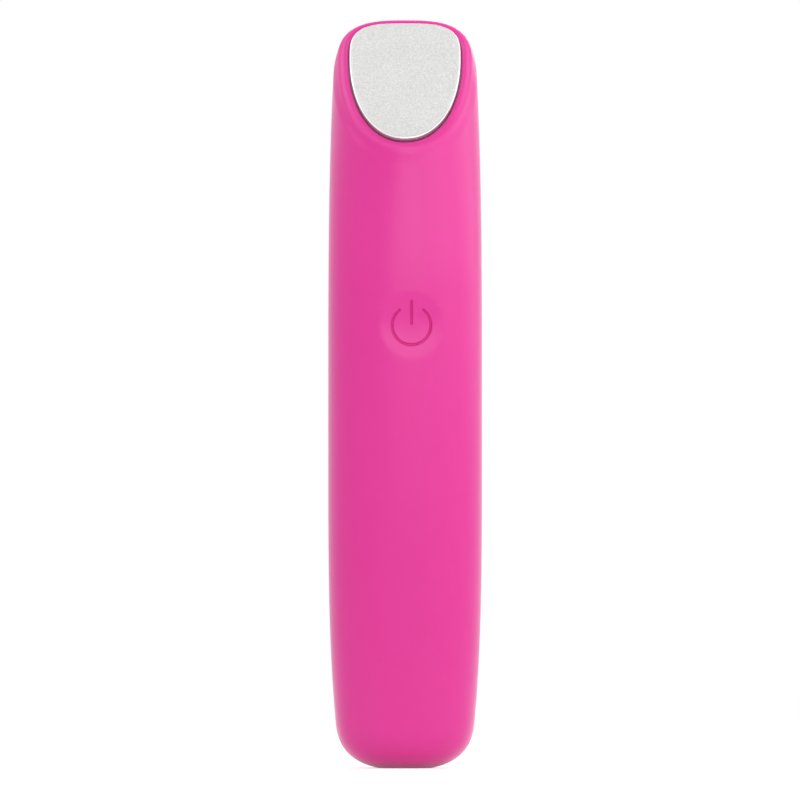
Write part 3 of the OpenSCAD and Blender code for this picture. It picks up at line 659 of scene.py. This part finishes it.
# --- outer form
@dataclass(frozen=True)
class BodyForm:
    """The wand's outer form: level sections that fan out to the head's tilted plane."""

    length: float = 130.0
    width: float = 26.7
    depth: float = 22.0
    skin: float = 1.4
    section: float = 2.4
    tilt: float = 40.0
    plate_width: float = 19.3
    plate_low: float = 18.5
    plate_high: float = 7.8
    scoop_low: float = 7.0
    scoop_up: float = 5.0
    tail: float = 8.0
    tail_power: float = 2.68
    tail_flat: float = 0.4
    crown_power: float = 2.85
    belly: float = 56.0
    taper_power: float = 3.43
    taper_width: float = 2.2
    taper_depth: float = 1.8
    crown: float = 0.29
    crown_reach: float = 48.0
    fan: float = 46.0
    throat_back: float = 0.8
    scoop_under: float = 3.6
    low_power: float = 2.2
    plate_powers: tuple[float, float] = (2.15, 3.3)
    lip_width: float = 2.25
    lip_top: float = 0.98
    lip_drop: float = 1.8
    lean: float = 0.7
    lip: tuple[tuple[float, float], ...] = (
        (2.18, -1.25), (1.96, -0.7), (1.54, -0.25), (0.98, 0.0), (0.54, -0.1), (0.22, -0.4))

    @property
    def sine(self) -> float:
        """Sine of the head's tilt."""
        return math.sin(math.radians(self.tilt))

    @property
    def cosine(self) -> float:
        """Cosine of the head's tilt."""
        return math.cos(math.radians(self.tilt))

    @property
    def head_y(self) -> float:
        """Depth of the head plane's middle."""
        reach = (self.plate_high + self.lip_top * self.lip_width) * self.sine
        return self.depth / 2 - self.lean - reach - self.lip_drop * self.cosine

    @property
    def head_z(self) -> float:
        """Height of the head plane's middle."""
        return self.length - max((self.plate_high + self.lip_top * q) * self.cosine
                                 + h * self.sine for q, h in self.lip)

    def _collar_edge(self, reach: float) -> tuple[float, float]:
        """Depth and height of the collar's edge at a reach up the head's plane."""
        return (self.head_y + reach * self.sine + self.lip_drop * self.cosine,
                self.head_z + reach * self.cosine - self.lip_drop * self.sine)

    @property
    def neck_front(self) -> tuple[float, float]:
        """Depth and height of the collar's lower edge at the front."""
        return self._collar_edge(-self.plate_low - self.lip_width)

    @property
    def neck_back(self) -> tuple[float, float]:
        """Depth and height of the collar's edge at the back."""
        return self._collar_edge(self.plate_high + self.lip_top * self.lip_width)

    @property
    def fan_z(self) -> float:
        """Height at which the sections start to tilt."""
        return self.length - self.fan

    def cap(self, z: Array) -> Array:
        """Rounding of the tail, cut off by its flat: (1 - (k (1 - z/tail))^n)^(1/n).

        k = (1 - flat^n)^(1/n), so the share at z = 0 is that of the flat.
        """
        n = self.tail_power
        cut = (1 - self.tail_flat ** n) ** (1 / n)
        return (1 - (cut * np.clip(1 - z / self.tail, 0.0, 1.0)) ** n) ** (1 / n)

    def taper(self, z: Array) -> Array:
        """Share of the taper towards the tail: (1 - z/belly)^power."""
        return np.clip(1 - z / self.belly, 0.0, None) ** self.taper_power

    def half_width(self, z: Array) -> Array:
        """Half the width at a height."""
        crown = self.crown * (np.clip(z - self.belly, 0.0, None) / self.crown_reach) ** 4
        return (self.width / 2 - self.taper_width * self.taper(z) - crown) * self.cap(z)

    def half_depth(self, z: Array) -> Array:
        """Half the depth at a height, without the neck's scoop."""
        return (self.depth / 2 - self.taper_depth * self.taper(z)) * self.cap(z)

    def scoop(self, z: Array) -> Array:
        """Hollow under the plate: depth times exp(-((z - middle)/reach)^2)."""
        front_y, front_z = self.neck_front
        middle = front_z - self.scoop_under
        deep = (self.depth / 2 + front_y) * math.exp((self.scoop_under / self.scoop_up) ** 2)
        reach = np.where(z < middle, self.scoop_low, self.scoop_up)
        return deep * np.exp(-((z - middle) / reach) ** 2)

    def front(self, z: Array) -> Array:
        """Depth of the front's middle line, as the shell under the skin has it."""
        return self.scoop(z) - self.half_depth(z)

    def throat(self, z: Array) -> Array:
        """Depth of the skin's front line up the neck, which goes back on a smoothstep."""
        t = np.clip((z - self.fan_z) / (self.neck_front[1] - self.fan_z), 0.0, 1.0)
        return self.throat_back * smooth(t) - self.half_depth(z)

    def back(self, z: Array) -> Array:
        """Depth of the back's middle line, with the head's slight lean."""
        t = np.clip((z - self.fan_z) / (self.neck_back[1] - self.fan_z), 0.0, 1.0)
        return self.half_depth(z) - self.lean * smooth(t)

    def face_y(self, x: Array, z: Array, side: float, inset: float = 0.0) -> Array:
        """Depth of the straight body's surface at a place seen square to it.

        Superellipse: side * half_depth * (1 - |x/half_width|^n)^(1/n), with both halves
        smaller by the inset.

        Args:
            x: Place across.
            z: Height.
            side: -1 for the front and 1 for the back.
            inset: Distance under the surface.

        Returns:
            The depth y.
        """
        share = np.clip(np.abs(x) / (self.half_width(z) - inset), 0.0, 0.999)
        bulge = (1 - share ** self.section) ** (1 / self.section)
        return side * (self.half_depth(z) - inset) * bulge

    def face_point(self, x: Array | float, z: Array | float, side: float,
                   sunk: Array | float = 0.0) -> Array:
        """Points of the straight body's surface, or sunk straight in from it."""
        return np.stack([x, self.face_y(x, z, side) - side * sunk, z], -1)

    def _round(self, angles: Array, low: Array, high: Array) -> tuple[Array, Array]:
        """Unit superellipse by polar angle, with one power below and another above."""
        c, s = np.cos(angles), np.sin(angles)
        n = np.where(s >= 0, high, low)
        r = (np.abs(c) ** n + np.abs(s) ** n) ** (-1 / n)
        return r * c, r * s

    def level_rings(self, heights: Array, angles: Array, inset: float = 0.0) -> Array:
        """Level sections, each set in along the surface's normal.

        Args:
            heights: Heights z.
            angles: Polar angles of the columns.
            inset: Distance under the surface.

        Returns:
            Points of shape (heights, angles, 3).
        """
        slope = (self.half_width(heights + 0.1) - self.half_width(heights)) / 0.1
        k = 1 / np.sqrt(1 + slope ** 2)
        h = (heights + inset * slope * k)[:, None]
        x, y = self._round(angles, self.section, self.section)
        low = (self.front(heights) + inset * k)[:, None]
        high = (self.back(heights) - inset * k)[:, None]
        wide = (self.half_width(heights) - inset * k)[:, None]
        depth = np.where(y[None, :] >= 0, high, -low) * y[None, :]
        return np.stack([wide * x[None, :], depth, np.broadcast_to(h, depth.shape)], 2)

    def neck_rings(self, shares: Array, angles: Array, inset: float = 0.0) -> Array:
        """Sections of the neck that turn from level to the head's tilt.

        Args:
            shares: 0 at the level end to 1 at the collar.
            angles: Polar angles of the columns.
            inset: Distance under the surface.

        Returns:
            Points of shape (shares, angles, 3).
        """
        t = shares[:, None]
        e = smooth(t)
        zf = self.fan_z + (self.neck_front[1] - self.fan_z) * t
        zb = self.fan_z + (self.neck_back[1] - self.fan_z) * t
        yf, yb = self.front(zf) if inset else self.throat(zf), self.back(zb)
        f0, b0 = float(self.front(np.array(self.fan_z))), float(self.back(np.array(self.fan_z)))
        reach = self.plate_low + self.lip_width
        full = reach + self.plate_high + self.lip_top * self.lip_width
        part = -f0 / (b0 - f0) * (1 - e) + reach / full * e
        py, pz = yf + (yb - yf) * part, zf + (zb - zf) * part
        step = inset / (yb - yf)
        fy, fz = yf + (yb - yf) * step, zf + (zb - zf) * step
        by, bz = yb - (yb - yf) * step, zb - (zb - zf) * step
        x, y = self._round(angles[None, :], self.section + (self.low_power - self.section) * e,
                           self.section + (self.crown_power - self.section) * e)
        wide = self.half_width(pz) - inset
        up = y >= 0
        return np.stack([wide * x, py + np.where(up, by - py, py - fy) * y,
                         pz + np.where(up, bz - pz, pz - fz) * y], 2)

    def head_ring(self, angles: Array, half: float, low: float | Array, high: float, h: float,
                  low_power: float, high_power: float) -> Array:
        """An outline in a plane of the head, at height h over the plate's edge plane.

        Args:
            angles: Polar angles of the columns.
            half: Half width.
            low: Length below the middle.
            high: Length above the middle.
            h: Height over the plane.
            low_power: Squareness of the lower half.
            high_power: Squareness of the upper half.

        Returns:
            Points of shape (angles, 3).
        """
        x, y = self._round(angles, low_power, high_power)
        v = np.where(y >= 0, high, low) * y
        return np.stack([half * x, self.head_y + v * self.sine - h * self.cosine,
                         self.head_z + v * self.cosine + h * self.sine], 1)

    def edge_ring(self, angles: Array, out: float, h: float,
                  fuller: float | Array = 0.0) -> Array:
        """Outline at a distance outward from the plate's edge, fuller at its lower end."""
        share = out / self.lip_width
        low, high = self.plate_powers
        return self.head_ring(angles, self.plate_width / 2 + out, self.plate_low + out + fuller,
                              self.plate_high + self.lip_top * out, h,
                              low + (self.low_power - low) * share,
                              high + (self.crown_power - high) * share)

    def inner_ring(self, angles: Array, h: float, inset: float) -> Array:
        """Outline of the head's inside at a height, set in from the outer surface."""
        rear = (self.depth / 2 - self.lean - inset - self.head_y + h * self.cosine) / self.sine
        low = self.plate_low + self.lip_width - 0.62 * (h + self.lip_drop) - 1.2 * inset
        return self.head_ring(angles, self.plate_width / 2 + self.lip_width - inset,
                              low, rear, h, self.low_power, self.crown_power)


FORM = BodyForm()


@dataclass(frozen=True)
class RoundWindow:
    """The round opening under the thumb button."""

    x: float = 1.1
    z: float = 76.8
    radius: float = 5.7
    side: float = -1.0
    edge: float = 0.0
    dish: float = 0.72
    dish_radius: float = 6.5

    def dip(self, x: Array, z: Array) -> Array:
        """Depth of the thumb dish at a place: dish * (1 - (r/dish_radius)^3)^3."""
        share = np.clip(np.hypot(x - self.x, z - self.z) / self.dish_radius, 0.0, 1.0)
        return self.dish * (1 - share ** 3) ** 3

    def reach(self, angles: Array) -> Array:
        """Distance from the middle to the rim at each angle."""
        return np.full_like(angles, self.radius)


@dataclass(frozen=True)
class FlapWindow:
    """The rounded rectangular opening of the port flap, or the flap's own outline."""

    half: float = 7.1
    low: float = 8.45
    high: float = 18.2
    corner: float = 1.6
    side: float = 1.0
    edge: float = 0.22
    x: float = 0.0

    @property
    def z(self) -> float:
        """Height of the middle."""
        return (self.low + self.high) / 2

    def dip(self, x: Array, z: Array) -> Array:
        """No dish here."""
        return np.zeros_like(x)

    def reach(self, angles: Array) -> Array:
        """Distance from the middle to the rim at each angle.

        The rim is a rectangle with quarter circles at its corners, drawn finely and read
        off by its polar angle.
        """
        t = np.linspace(0, math.pi / 2, 120)
        a, b, r = self.half, (self.high - self.low) / 2, self.corner
        x = a - r + r * np.cos(t)
        z = b - r + r * np.sin(t)
        x = np.concatenate([[a], x, [0.0]])
        z = np.concatenate([[0.0], z, [b]])
        fine = np.linspace(0, 1, 30)
        x = np.concatenate([np.interp(fine, [0, 1], x[i:i + 2]) for i in range(len(x) - 1)])
        z = np.concatenate([np.interp(fine, [0, 1], z[i:i + 2]) for i in range(len(z) - 1)])
        folded = np.arctan2(np.abs(np.sin(angles)), np.abs(np.cos(angles)))
        return np.interp(folded, np.arctan2(z, x), np.hypot(x, z))


@dataclass
class Skin:
    """The one-piece silicone skin with its collar, lip and two openings."""

    columns: int = 176
    port_rows: tuple[float, float] = (8.0, 18.7)
    thumb_rows: tuple[float, float] = (70.2, 83.4)
    tail_inside: tuple[float, ...] = (0.0, 0.9, 2.9, 6.4)
    window_margin: float = 0.55
    neck_controls: int = 50
    fuller: tuple[float, ...] = (0.6, 0.25, 0.0, 0.0, 0.0)
    lip_inside: tuple[tuple[float, float], ...] = (
        (0.24, -0.2), (0.12, -0.38), (0.1, -0.6), (0.1, -0.85), (0.1, -1.1))
    button: RoundWindow = field(default_factory=RoundWindow)
    flap: FlapWindow = field(default_factory=FlapWindow)
    rim: Array | None = None

    def _heights(self) -> tuple[Array, Array]:
        """Heights of the outer tail rows, and of the straight rows shared by both walls."""
        n = FORM.tail_power
        u = np.linspace(math.asin(FORM.tail_flat ** (n / 2)), math.pi / 2, 44)
        tail = FORM.tail * (1 - np.cos(u) ** (2 / n) / (1 - FORM.tail_flat ** n) ** (1 / n))
        port = np.linspace(*self.port_rows, 25)
        middle = np.linspace(self.port_rows[1], self.thumb_rows[0], 28)[1:-1]
        thumb = np.linspace(*self.thumb_rows, 34)
        return tail[:-1], np.concatenate([port, middle, thumb])

    def _neck_and_collar(self, angles: Array) -> Array:
        """Rows up the neck, over the collar and down its lip.

        The neck's sections and the collar's outlines are the control rings of one cubic
        B-spline up each column, so the neck runs into the collar without a crease.
        """
        control = list(FORM.neck_rings(np.linspace(-0.02, 0.96, self.neck_controls), angles))
        below = np.clip(-np.sin(angles), 0.0, 1.0) ** 2
        control += [FORM.edge_ring(angles, q, h, fuller * below)
                    for (q, h), fuller in zip(FORM.lip[:-1], self.fuller)]
        control += [FORM.edge_ring(angles, q, h) for q, h in self.lip_inside]
        return spline_rings(np.array(control), 1, self.neck_controls, 6)

    def _loop(self, numbers: Array, rows: tuple[int, int], cols: tuple[int, int]) -> Array:
        """Point numbers round a box of rows and columns, each point once."""
        r0, r1 = rows
        c0, c1 = cols
        across = np.arange(c0, c1 + 1) % self.columns
        back = across[::-1]
        return np.concatenate([numbers[r0, across[:-1]], numbers[r0:r1, across[-1]],
                               numbers[r1, back[:-1]], numbers[r0 + 1:r1 + 1, across[0]][::-1]])

    def _window(self, surface: Surface, outer: Array, inner: Array,
                window: RoundWindow | FlapWindow) -> Array:
        """Fills the space between a box of the grid and a window, and lines its wall.

        Each loop point gives a ray from the window's middle. Points go along the rays at
        even shares, with their depth from the body's formula, round over the rim's edge
        by a quarter circle, and then through the wall.

        Args:
            surface: Gathers the points and faces.
            outer: Loop of the outer wall.
            inner: Loop of the inner wall.
            window: The opening.

        Returns:
            The rim's angles.
        """
        points = np.concatenate(surface.points)
        dx, dz = points[outer][:, 0] - window.x, points[outer][:, 2] - window.z
        angles, far = np.arctan2(dz, dx), np.hypot(dx, dz)
        reach = window.reach(angles)
        ray = np.stack([np.cos(angles), np.sin(angles)], 1)

        def ring(radius: Array, sunk: float) -> Array:
            """Points on the rays at a radius, sunk under the surface."""
            x = window.x + radius * ray[:, 0]
            z = window.z + radius * ray[:, 1]
            return FORM.face_point(x, z, window.side, sunk + window.dip(x, z))

        last = surface.carry(outer, (
            ring(reach + window.edge + (far - reach - window.edge) * share, 0.0)
            for share in np.linspace(1, 0, 7)[1:]), facing(0.0, window.side, 0.0))
        wall = []
        if window.edge > 0:
            wall = [ring(reach + window.edge * (1 - math.sin(turn)),
                         window.edge * (1 - math.cos(turn)))
                    for turn in np.linspace(0, math.pi / 2, 6)[1:]]
        wall += [ring(reach, 0.6 * FORM.skin), ring(reach, FORM.skin)]
        last = surface.carry(last, wall, away_from(
            window.x, window.side * FORM.depth / 2, window.z, -1.0))
        surface.band(last, inner, facing(0.0, -window.side, 0.0))
        return angles

    def build(self, material: bpy.types.Material) -> bpy.types.Object:
        """Makes the skin.

        Args:
            material: Its finish.

        Returns:
            The object.
        """
        angles = around(self.columns)
        tail, straight = self._heights()
        outer = np.concatenate([
            FORM.level_rings(np.concatenate([tail, straight]), angles),
            self._neck_and_collar(angles)])
        groove = np.array([
            FORM.edge_ring(angles, 1.0, -0.88), FORM.edge_ring(angles, 1.0, -1.3),
            FORM.inner_ring(angles, -1.4, FORM.skin), FORM.inner_ring(angles, -3.0, FORM.skin)])
        inner = np.concatenate([
            FORM.level_rings(np.array(self.tail_inside), angles, FORM.skin),
            FORM.level_rings(straight, angles, FORM.skin),
            FORM.neck_rings(np.linspace(0.05, 0.88, 16), angles, FORM.skin)])
        surface = Surface()
        up, over, down = surface.add(outer), surface.add(groove), surface.add(inner)
        shift = len(tail) - len(self.tail_inside)
        holes = []
        for window, rows in ((self.flap, self.port_rows), (self.button, self.thumb_rows)):
            first, last = (len(tail) + int(np.argmin(np.abs(straight - z))) for z in rows)
            row = outer[(first + last) // 2]
            rim_reach = window.reach(np.linspace(0, 2 * math.pi, 9)[::2])
            size = float(np.max(rim_reach)) + self.window_margin
            inside = np.where((np.abs(row[:, 0] - window.x) < size)
                              & (row[:, 1] * window.side > 0))[0]
            holes.append((window, first, last, int(inside.min()) - 1, int(inside.max()) + 1))
        for grid, less in ((up, 0), (down, shift)):
            for i in range(len(grid) - 1):
                keep = np.ones(self.columns, bool)
                for _, first, last, c0, c1 in holes:
                    if first - less <= i < last - less:
                        keep[c0:c1] = False
                quads = strip(grid[i], grid[i + 1])[keep]
                surface.quads(quads if less == 0 else quads[:, ::-1])
        for lower, upper in zip([up[-1], *over], [*over, down[-1]]):
            surface.band(lower, upper)
        for window, first, last, c0, c1 in holes:
            rim = self._window(surface, self._loop(up, (first, last), (c0, c1)),
                               self._loop(down, (first - shift, last - shift), (c0, c1)), window)
            if window is self.button:
                self.rim = rim
        below = facing(0.0, 0.0, -1.0)
        last_ring = surface.carry(up[0], (outer[0] * np.array([share, share, 1.0])
                                          for share in (0.75, 0.5, 0.25)), below)
        surface.fan(last_ring, np.zeros(3), below)
        surface.fan(down[0], np.array([0.0, 0.0, inner[0, 0, 2]]), facing(0.0, 0.0, 1.0))
        made = surface.make("skin", material, 50.0)
        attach(made, "housing")
        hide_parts("silicone_sleeve")
        return made


@dataclass
class ThumbButton:
    """The dished thumb pad with its engraved power mark, cut from the same skin."""

    window: RoundWindow
    rim: Array
    gap: float = 0.004
    seat_y: float = -9.5
    mark: float = 7.3
    bar: float = 0.615
    opening: float = 38.0
    line: float = 0.58
    deep: float = 0.24
    bank: float = 0.2
    rings: int = 112
    finer: int = 3

    def _groove(self, x: Array, z: Array) -> Array:
        """Share of the groove's depth at a place, 0 outside and 1 on its floor.

        The distance to the mark is the lesser of the distance to a bar, |x| and the way
        past its ends, and to an arc, |r - middle|, that stops some degrees from the top.
        The share is the smoothstep of how far the place lies inside the line's edge.
        """
        r, turn = np.hypot(x, z), np.abs(np.arctan2(x, z))
        mid = self.mark / 2 - self.line / 2
        gap = math.radians(self.opening)
        end = np.hypot(np.abs(x) - mid * math.sin(gap), z - mid * math.cos(gap))
        arc = np.where(turn > gap, np.abs(r - mid), end)
        top = self.mark * self.bar - self.line / 2
        bar = np.hypot(x, z - np.clip(z, self.line / 2, top))
        t = np.clip((self.line / 2 - np.minimum(arc, bar)) / self.bank, 0, 1)
        return smooth(t)

    def build(self, material: bpy.types.Material) -> bpy.types.Object:
        """Makes the pad.

        Args:
            material: Its finish.

        Returns:
            The object.
        """
        w = self.window
        order = np.argsort(self.rim)
        edge = np.stack([np.cos(self.rim[order]), np.sin(self.rim[order])], 1)
        after = np.roll(edge, -1, 0)
        steps = np.arange(self.finer) / self.finer
        chord = (edge[:, None] + (after - edge)[:, None] * steps[None, :, None]).reshape(-1, 2)
        chord *= w.radius - self.gap
        q = np.linspace(0, 1, self.rings)[1:]
        x, z = chord[None, :, 0] * q[:, None], chord[None, :, 1] * q[:, None]
        sunk = w.dip(w.x + x, w.z + z) + self.deep * self._groove(x, z)
        surface = Surface()
        top = surface.add(FORM.face_point(w.x + x, w.z + z, w.side, sunk))
        front = facing(0.0, w.side, 0.0)
        for lower, upper in zip(top[:-1], top[1:]):
            surface.band(lower, upper, front)
        hub = float(self._groove(0.0, 0.0))
        surface.fan(top[0], FORM.face_point(w.x, w.z, w.side, w.dish + self.deep * hub), front)
        side = surface.add(np.stack([w.x + x[-1], np.full(len(chord), self.seat_y),
                                     w.z + z[-1]], 1))
        surface.band(top[-1], side, away_from(w.x, self.seat_y, w.z))
        surface.fan(side, np.array([w.x, self.seat_y, w.z]), facing(0.0, 1.0, 0.0))
        # The groove share is kept on the points as the mask of the painted shade in the mark.
        groove = np.concatenate([self._groove(x, z).reshape(-1), [hub],
                                 np.zeros(len(chord) + 1)])
        made = surface.make("button_pad", material, 50.0, {"groove": groove})
        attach(made, "button")
        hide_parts("power_button")
        return made


@dataclass
class Plate:
    """The heated metal plate: blasted face, rounded polished edge, flange under the lip."""

    columns: int = 256
    proud: float = 0.7
    chamfer: float = 0.18
    flange: float = 0.9
    flange_top: float = -0.95
    flange_back: float = -1.3

    def build(self, material: bpy.types.Material) -> bpy.types.Object:
        """Makes the plate.

        The edge is a quarter of a superellipse from the side wall to the face, of the
        chamfer's size both ways. The face closes in shrinking copies of the outline.

        Args:
            material: Its finish.

        Returns:
            The object.
        """
        angles = around(self.columns)
        rows = [(self.flange, self.flange_back), (self.flange, self.flange_top),
                (0.0, self.flange_top), (0.0, 0.0), (0.0, self.proud - self.chamfer)]
        rows += [(-self.chamfer * (1 - math.cos(turn) ** 1.2),
                  self.proud - self.chamfer * (1 - math.sin(turn) ** 1.2))
                 for turn in np.linspace(0, math.pi / 2, 9)[1:]]
        rings = np.array([FORM.edge_ring(angles, q, h) for q, h in rows])
        surface = Surface()
        wall = surface.add(rings)
        for lower, upper in zip(wall[:-1], wall[1:]):
            surface.band(lower, upper)
        normal = np.array([0.0, -FORM.cosine, FORM.sine])
        centre = np.array([0.0, FORM.head_y, FORM.head_z]) + self.proud * normal
        shares = np.linspace(1, 0, 18)[1:-1]
        last = surface.carry(wall[-1], (centre + (rings[-1] - centre) * share
                                        for share in shares), facing(*normal))
        surface.fan(last, centre, facing(*normal))
        back = centre - normal * (self.proud - self.flange_back)
        surface.fan(wall[0], back, facing(*-normal))
        edge = np.repeat([0.0] * 4 + [0.1] + [1.0] * 7 + [0.5], self.columns)
        polish = np.concatenate([edge, np.zeros(len(shares) * self.columns + 2)])
        made = surface.make("heat_plate", material, 50.0, {"polish": polish})
        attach(made, "housing")
        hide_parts("massage_plate")
        return made


@dataclass
class PortFlap:
    """The soft flap over the charging port, with its rounded foot and plug."""

    outline: FlapWindow = field(default_factory=lambda: FlapWindow(6.8, 8.75, 17.9, 1.35))
    thick: float = 1.35
    foot: float = 0.62
    round_edge: float = 0.25
    plug_half: float = 3.9
    plug_radius: float = 1.0
    plug_z: float = 13.65
    plug_tip: float = 7.81
    plug_root: float = 9.2
    foot_reach: float = 1.4

    def _leaf(self, surface: Surface) -> None:
        """The flap's leaf: rings of its outline on the body's surface and under it.

        The rim turns from the outer face to the inner one on a half superellipse, whose
        reach grows towards the foot, so that the foot is a full round.
        """
        angles = around(264)
        reach = self.outline.reach(angles)
        x0, z0 = reach * np.cos(angles), reach * np.sin(angles)
        foot_end = self.outline.low + self.foot_reach
        low = np.clip((foot_end - (self.outline.z + z0)) / self.foot_reach, 0, 1)
        soft = self.round_edge + (self.foot - self.round_edge) * smooth(low)
        size = np.hypot(x0, z0)

        def ring(share: Array, sunk: Array | float = 0.0) -> Array:
            """Points at a share of the outline, sunk under the surface."""
            return FORM.face_point(x0 * share, self.outline.z + z0 * share, 1.0, sunk)

        out, back = facing(0.0, 1.0, 0.0), facing(0.0, -1.0, 0.0)
        side = away_from(0.0, 9.0, self.outline.z)
        inner = (size - soft) / size
        last = surface.add(ring(inner * 0.08))
        surface.fan(last, FORM.face_point(0.0, self.outline.z, 1.0), out)
        last = surface.carry(last, (ring(inner * share)
                                    for share in np.linspace(0.08, 1, 20)[1:]), out)
        for turn in np.linspace(0, math.pi, 13)[1:]:
            drop = soft * (1 - math.cos(turn)) if turn <= math.pi / 2 else \
                self.thick - soft * (1 + math.cos(turn))
            towards = side if 0.4 < turn < 2.8 else (out if turn < 1 else back)
            last = surface.carry(last, [ring(inner + (1 - inner) * math.sin(turn), drop)],
                                 towards)
        last = surface.carry(last, (ring(inner * share, self.thick)
                                    for share in (0.7, 0.4, 0.1)), back)
        surface.fan(last, FORM.face_point(0.0, self.outline.z, 1.0, self.thick), back)

    def _plug(self, surface: Surface) -> None:
        """The plug: a bar with round ends, carried inwards to a softened nose."""
        t = around(96)
        shift = np.where(np.cos(t) >= 0, 1.0, -1.0) * (self.plug_half - self.plug_radius)
        root, tip = self.plug_root, self.plug_tip
        rings = []
        for depth, less in ((root, -0.25), (root - 0.15, -0.08), (root - 0.4, 0.0),
                            (tip + 0.25, 0.0), (tip + 0.08, 0.08), (tip, 0.28)):
            r = self.plug_radius - less
            rings.append(np.stack([shift + r * np.cos(t), np.full_like(t, depth),
                                   self.plug_z + r * np.sin(t)], 1))
        last = surface.add(rings[0])
        surface.fan(last, np.array([0.0, root, self.plug_z]), facing(0.0, 1.0, 0.0))
        last = surface.carry(last, rings[1:], away_from(0.0, 8.6, self.plug_z))
        surface.fan(last, np.array([0.0, tip, self.plug_z]), facing(0.0, -1.0, 0.0))

    def build(self, material: bpy.types.Material) -> bpy.types.Object:
        """Makes the flap.

        Args:
            material: Its finish.

        Returns:
            The object.
        """
        surface = Surface()
        self._leaf(surface)
        self._plug(surface)
        made = surface.make("port_flap", material, 50.0)
        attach(made, "port_cover")
        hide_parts("port_cover")
        return made


@dataclass(frozen=True)
class Lamp:
    """A soft rectangular lamp: its place, its width and height in metres, its power."""

    name: str
    place: tuple[float, float, float]
    size: tuple[float, float]
    power: float

    def build(self, aim_z: float) -> None:
        """Makes the lamp, aimed at a height on the wand's middle line."""
        data = bpy.data.lights.new(self.name, "AREA")
        data.shape = "RECTANGLE"
        data.size, data.size_y = self.size
        data.energy = self.power
        lamp = bpy.data.objects.new(self.name, data)
        lamp.location = self.place
        lamp.visible_camera = False
        away = np.array(self.place) - np.array([0.0, 0.0, aim_z])
        pitch = math.atan2(math.hypot(away[0], away[1]), away[2])
        lamp.rotation_euler = (pitch, 0.0, math.atan2(away[1], away[0]) + math.pi / 2)
        bpy.context.scene.collection.objects.link(lamp)


@dataclass(frozen=True)
class Studio:
    """White surroundings, a pale floor, seven soft lamps and the photograph's camera."""

    lens: float = 1037.0
    distance: float = 4.0
    aim_x: float = -0.00088
    aim_z: float = 0.06387
    ambient: float = 0.54
    floor_radius: float = 420.0
    floor_z: float = -0.01
    floor_glow: float = 0.45
    lamp_aim_z: float = 0.08
    lamps: tuple[Lamp, ...] = (
        Lamp("front", (0.021, -0.241, 0.145), (0.11, 0.14), 0.08),
        Lamp("key", (0.162, -0.179, 0.145), (0.2, 0.14), 0.12),
        Lamp("rim", (0.241, 0.013, 0.145), (0.24, 0.14), 0.12),
        Lamp("ridge_left", (-0.12, 0.0, 0.28), (0.1, 0.16), 0.09),
        Lamp("ridge_right", (0.12, 0.0, 0.28), (0.1, 0.16), 0.09),
        Lamp("back", (0.12, 0.65, 0.35), (0.5, 0.3), 1.6),
        Lamp("fill", (-0.474, -0.565, 0.596), (1.62, 0.36), 1.7))

    def _world(self) -> None:
        """White seen directly or mirrored, and a plain ambient level otherwise."""
        s = Shade(bpy.data.worlds.new("studio_world"))
        bpy.context.scene.world = s.owner
        level = self.ambient + s.seen() * (1 - self.ambient)
        light = s.node("ShaderNodeBackground",
                       inputs={"Color": (1.0, 1.0, 1.0), "Strength": level})
        s.node("ShaderNodeOutputWorld", inputs={"Surface": s.wire(light)})

    def _floor(self) -> None:
        """A small pale disc that shows white and keeps the wand's shadow."""
        t = around(96)
        surface = Surface()
        ring = surface.add(np.stack([self.floor_radius * np.cos(t), self.floor_radius * np.sin(t),
                                     np.full_like(t, self.floor_z)], 1))
        surface.fan(ring, np.array([0.0, 0.0, self.floor_z]), facing(0.0, 0.0, 1.0))
        s = Shade(bpy.data.materials.new("studio_floor"))
        glow_level = s.seen() * self.floor_glow
        pale = s.mix(s.noise(30.0, 2.0), (0.86, 0.86, 0.86), (0.9, 0.9, 0.9))
        diffuse = s.node("ShaderNodeBsdfDiffuse", inputs={"Color": pale})
        glow = s.node("ShaderNodeEmission", inputs={"Strength": glow_level})
        both = s.node("ShaderNodeAddShader", inputs={0: s.wire(diffuse), 1: s.wire(glow)})
        s.node("ShaderNodeOutputMaterial", inputs={"Surface": s.wire(both)})
        surface.make("floor", s.owner)

    def build(self) -> None:
        """Sets up the surroundings, the lamps and the camera."""
        scene = bpy.context.scene
        scene.view_settings.view_transform = "Standard"
        self._world()
        self._floor()
        for lamp in self.lamps:
            lamp.build(self.lamp_aim_z)
        data = bpy.data.cameras.new("camera")
        data.sensor_width = 36.0
        data.lens = self.lens
        data.clip_end = 20.0
        camera = bpy.data.objects.new("camera", data)
        camera.location = (self.aim_x, -self.distance, self.aim_z)
        camera.rotation_euler = (math.pi / 2, 0.0, 0.0)
        scene.collection.objects.link(camera)
        scene.camera = camera


def dress_nodes(palette: Palette) -> None:
    """Gives every CAD node that stays in view the finish of its record slot.

    Args:
        palette: Hands out the materials.
    """
    for part in frame["record"]["subparts"]:
        node = frame["nodes"][part["node"]]
        if node.hide_render:
            continue
        material = palette.get(Finish[part["material_slot"]])
        node.data.materials.clear()
        node.data.materials.append(material)
        LOG.info("dressed %s in %s", node.name, material.name)


def main() -> None:
    """Builds the wand's visible pieces, dresses the rest and sets up the studio."""
    logging.basicConfig(level=logging.INFO, format="%(name)s: %(message)s")
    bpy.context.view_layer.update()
    palette = Palette()
    skin = Skin()
    pieces = [skin.build(palette.get(Finish.silicone))]
    pieces.append(ThumbButton(skin.button, skin.rim).build(palette.get(Finish.silicone)))
    pieces.append(Plate().build(palette.get(Finish.plate_metal)))
    pieces.append(PortFlap().build(palette.get(Finish.silicone)))
    for piece in pieces:
        LOG.info("made %s of %d faces", piece.name, len(piece.data.polygons))
    dress_nodes(palette)
    Studio().build()


if __name__ == "__main__":
    main()
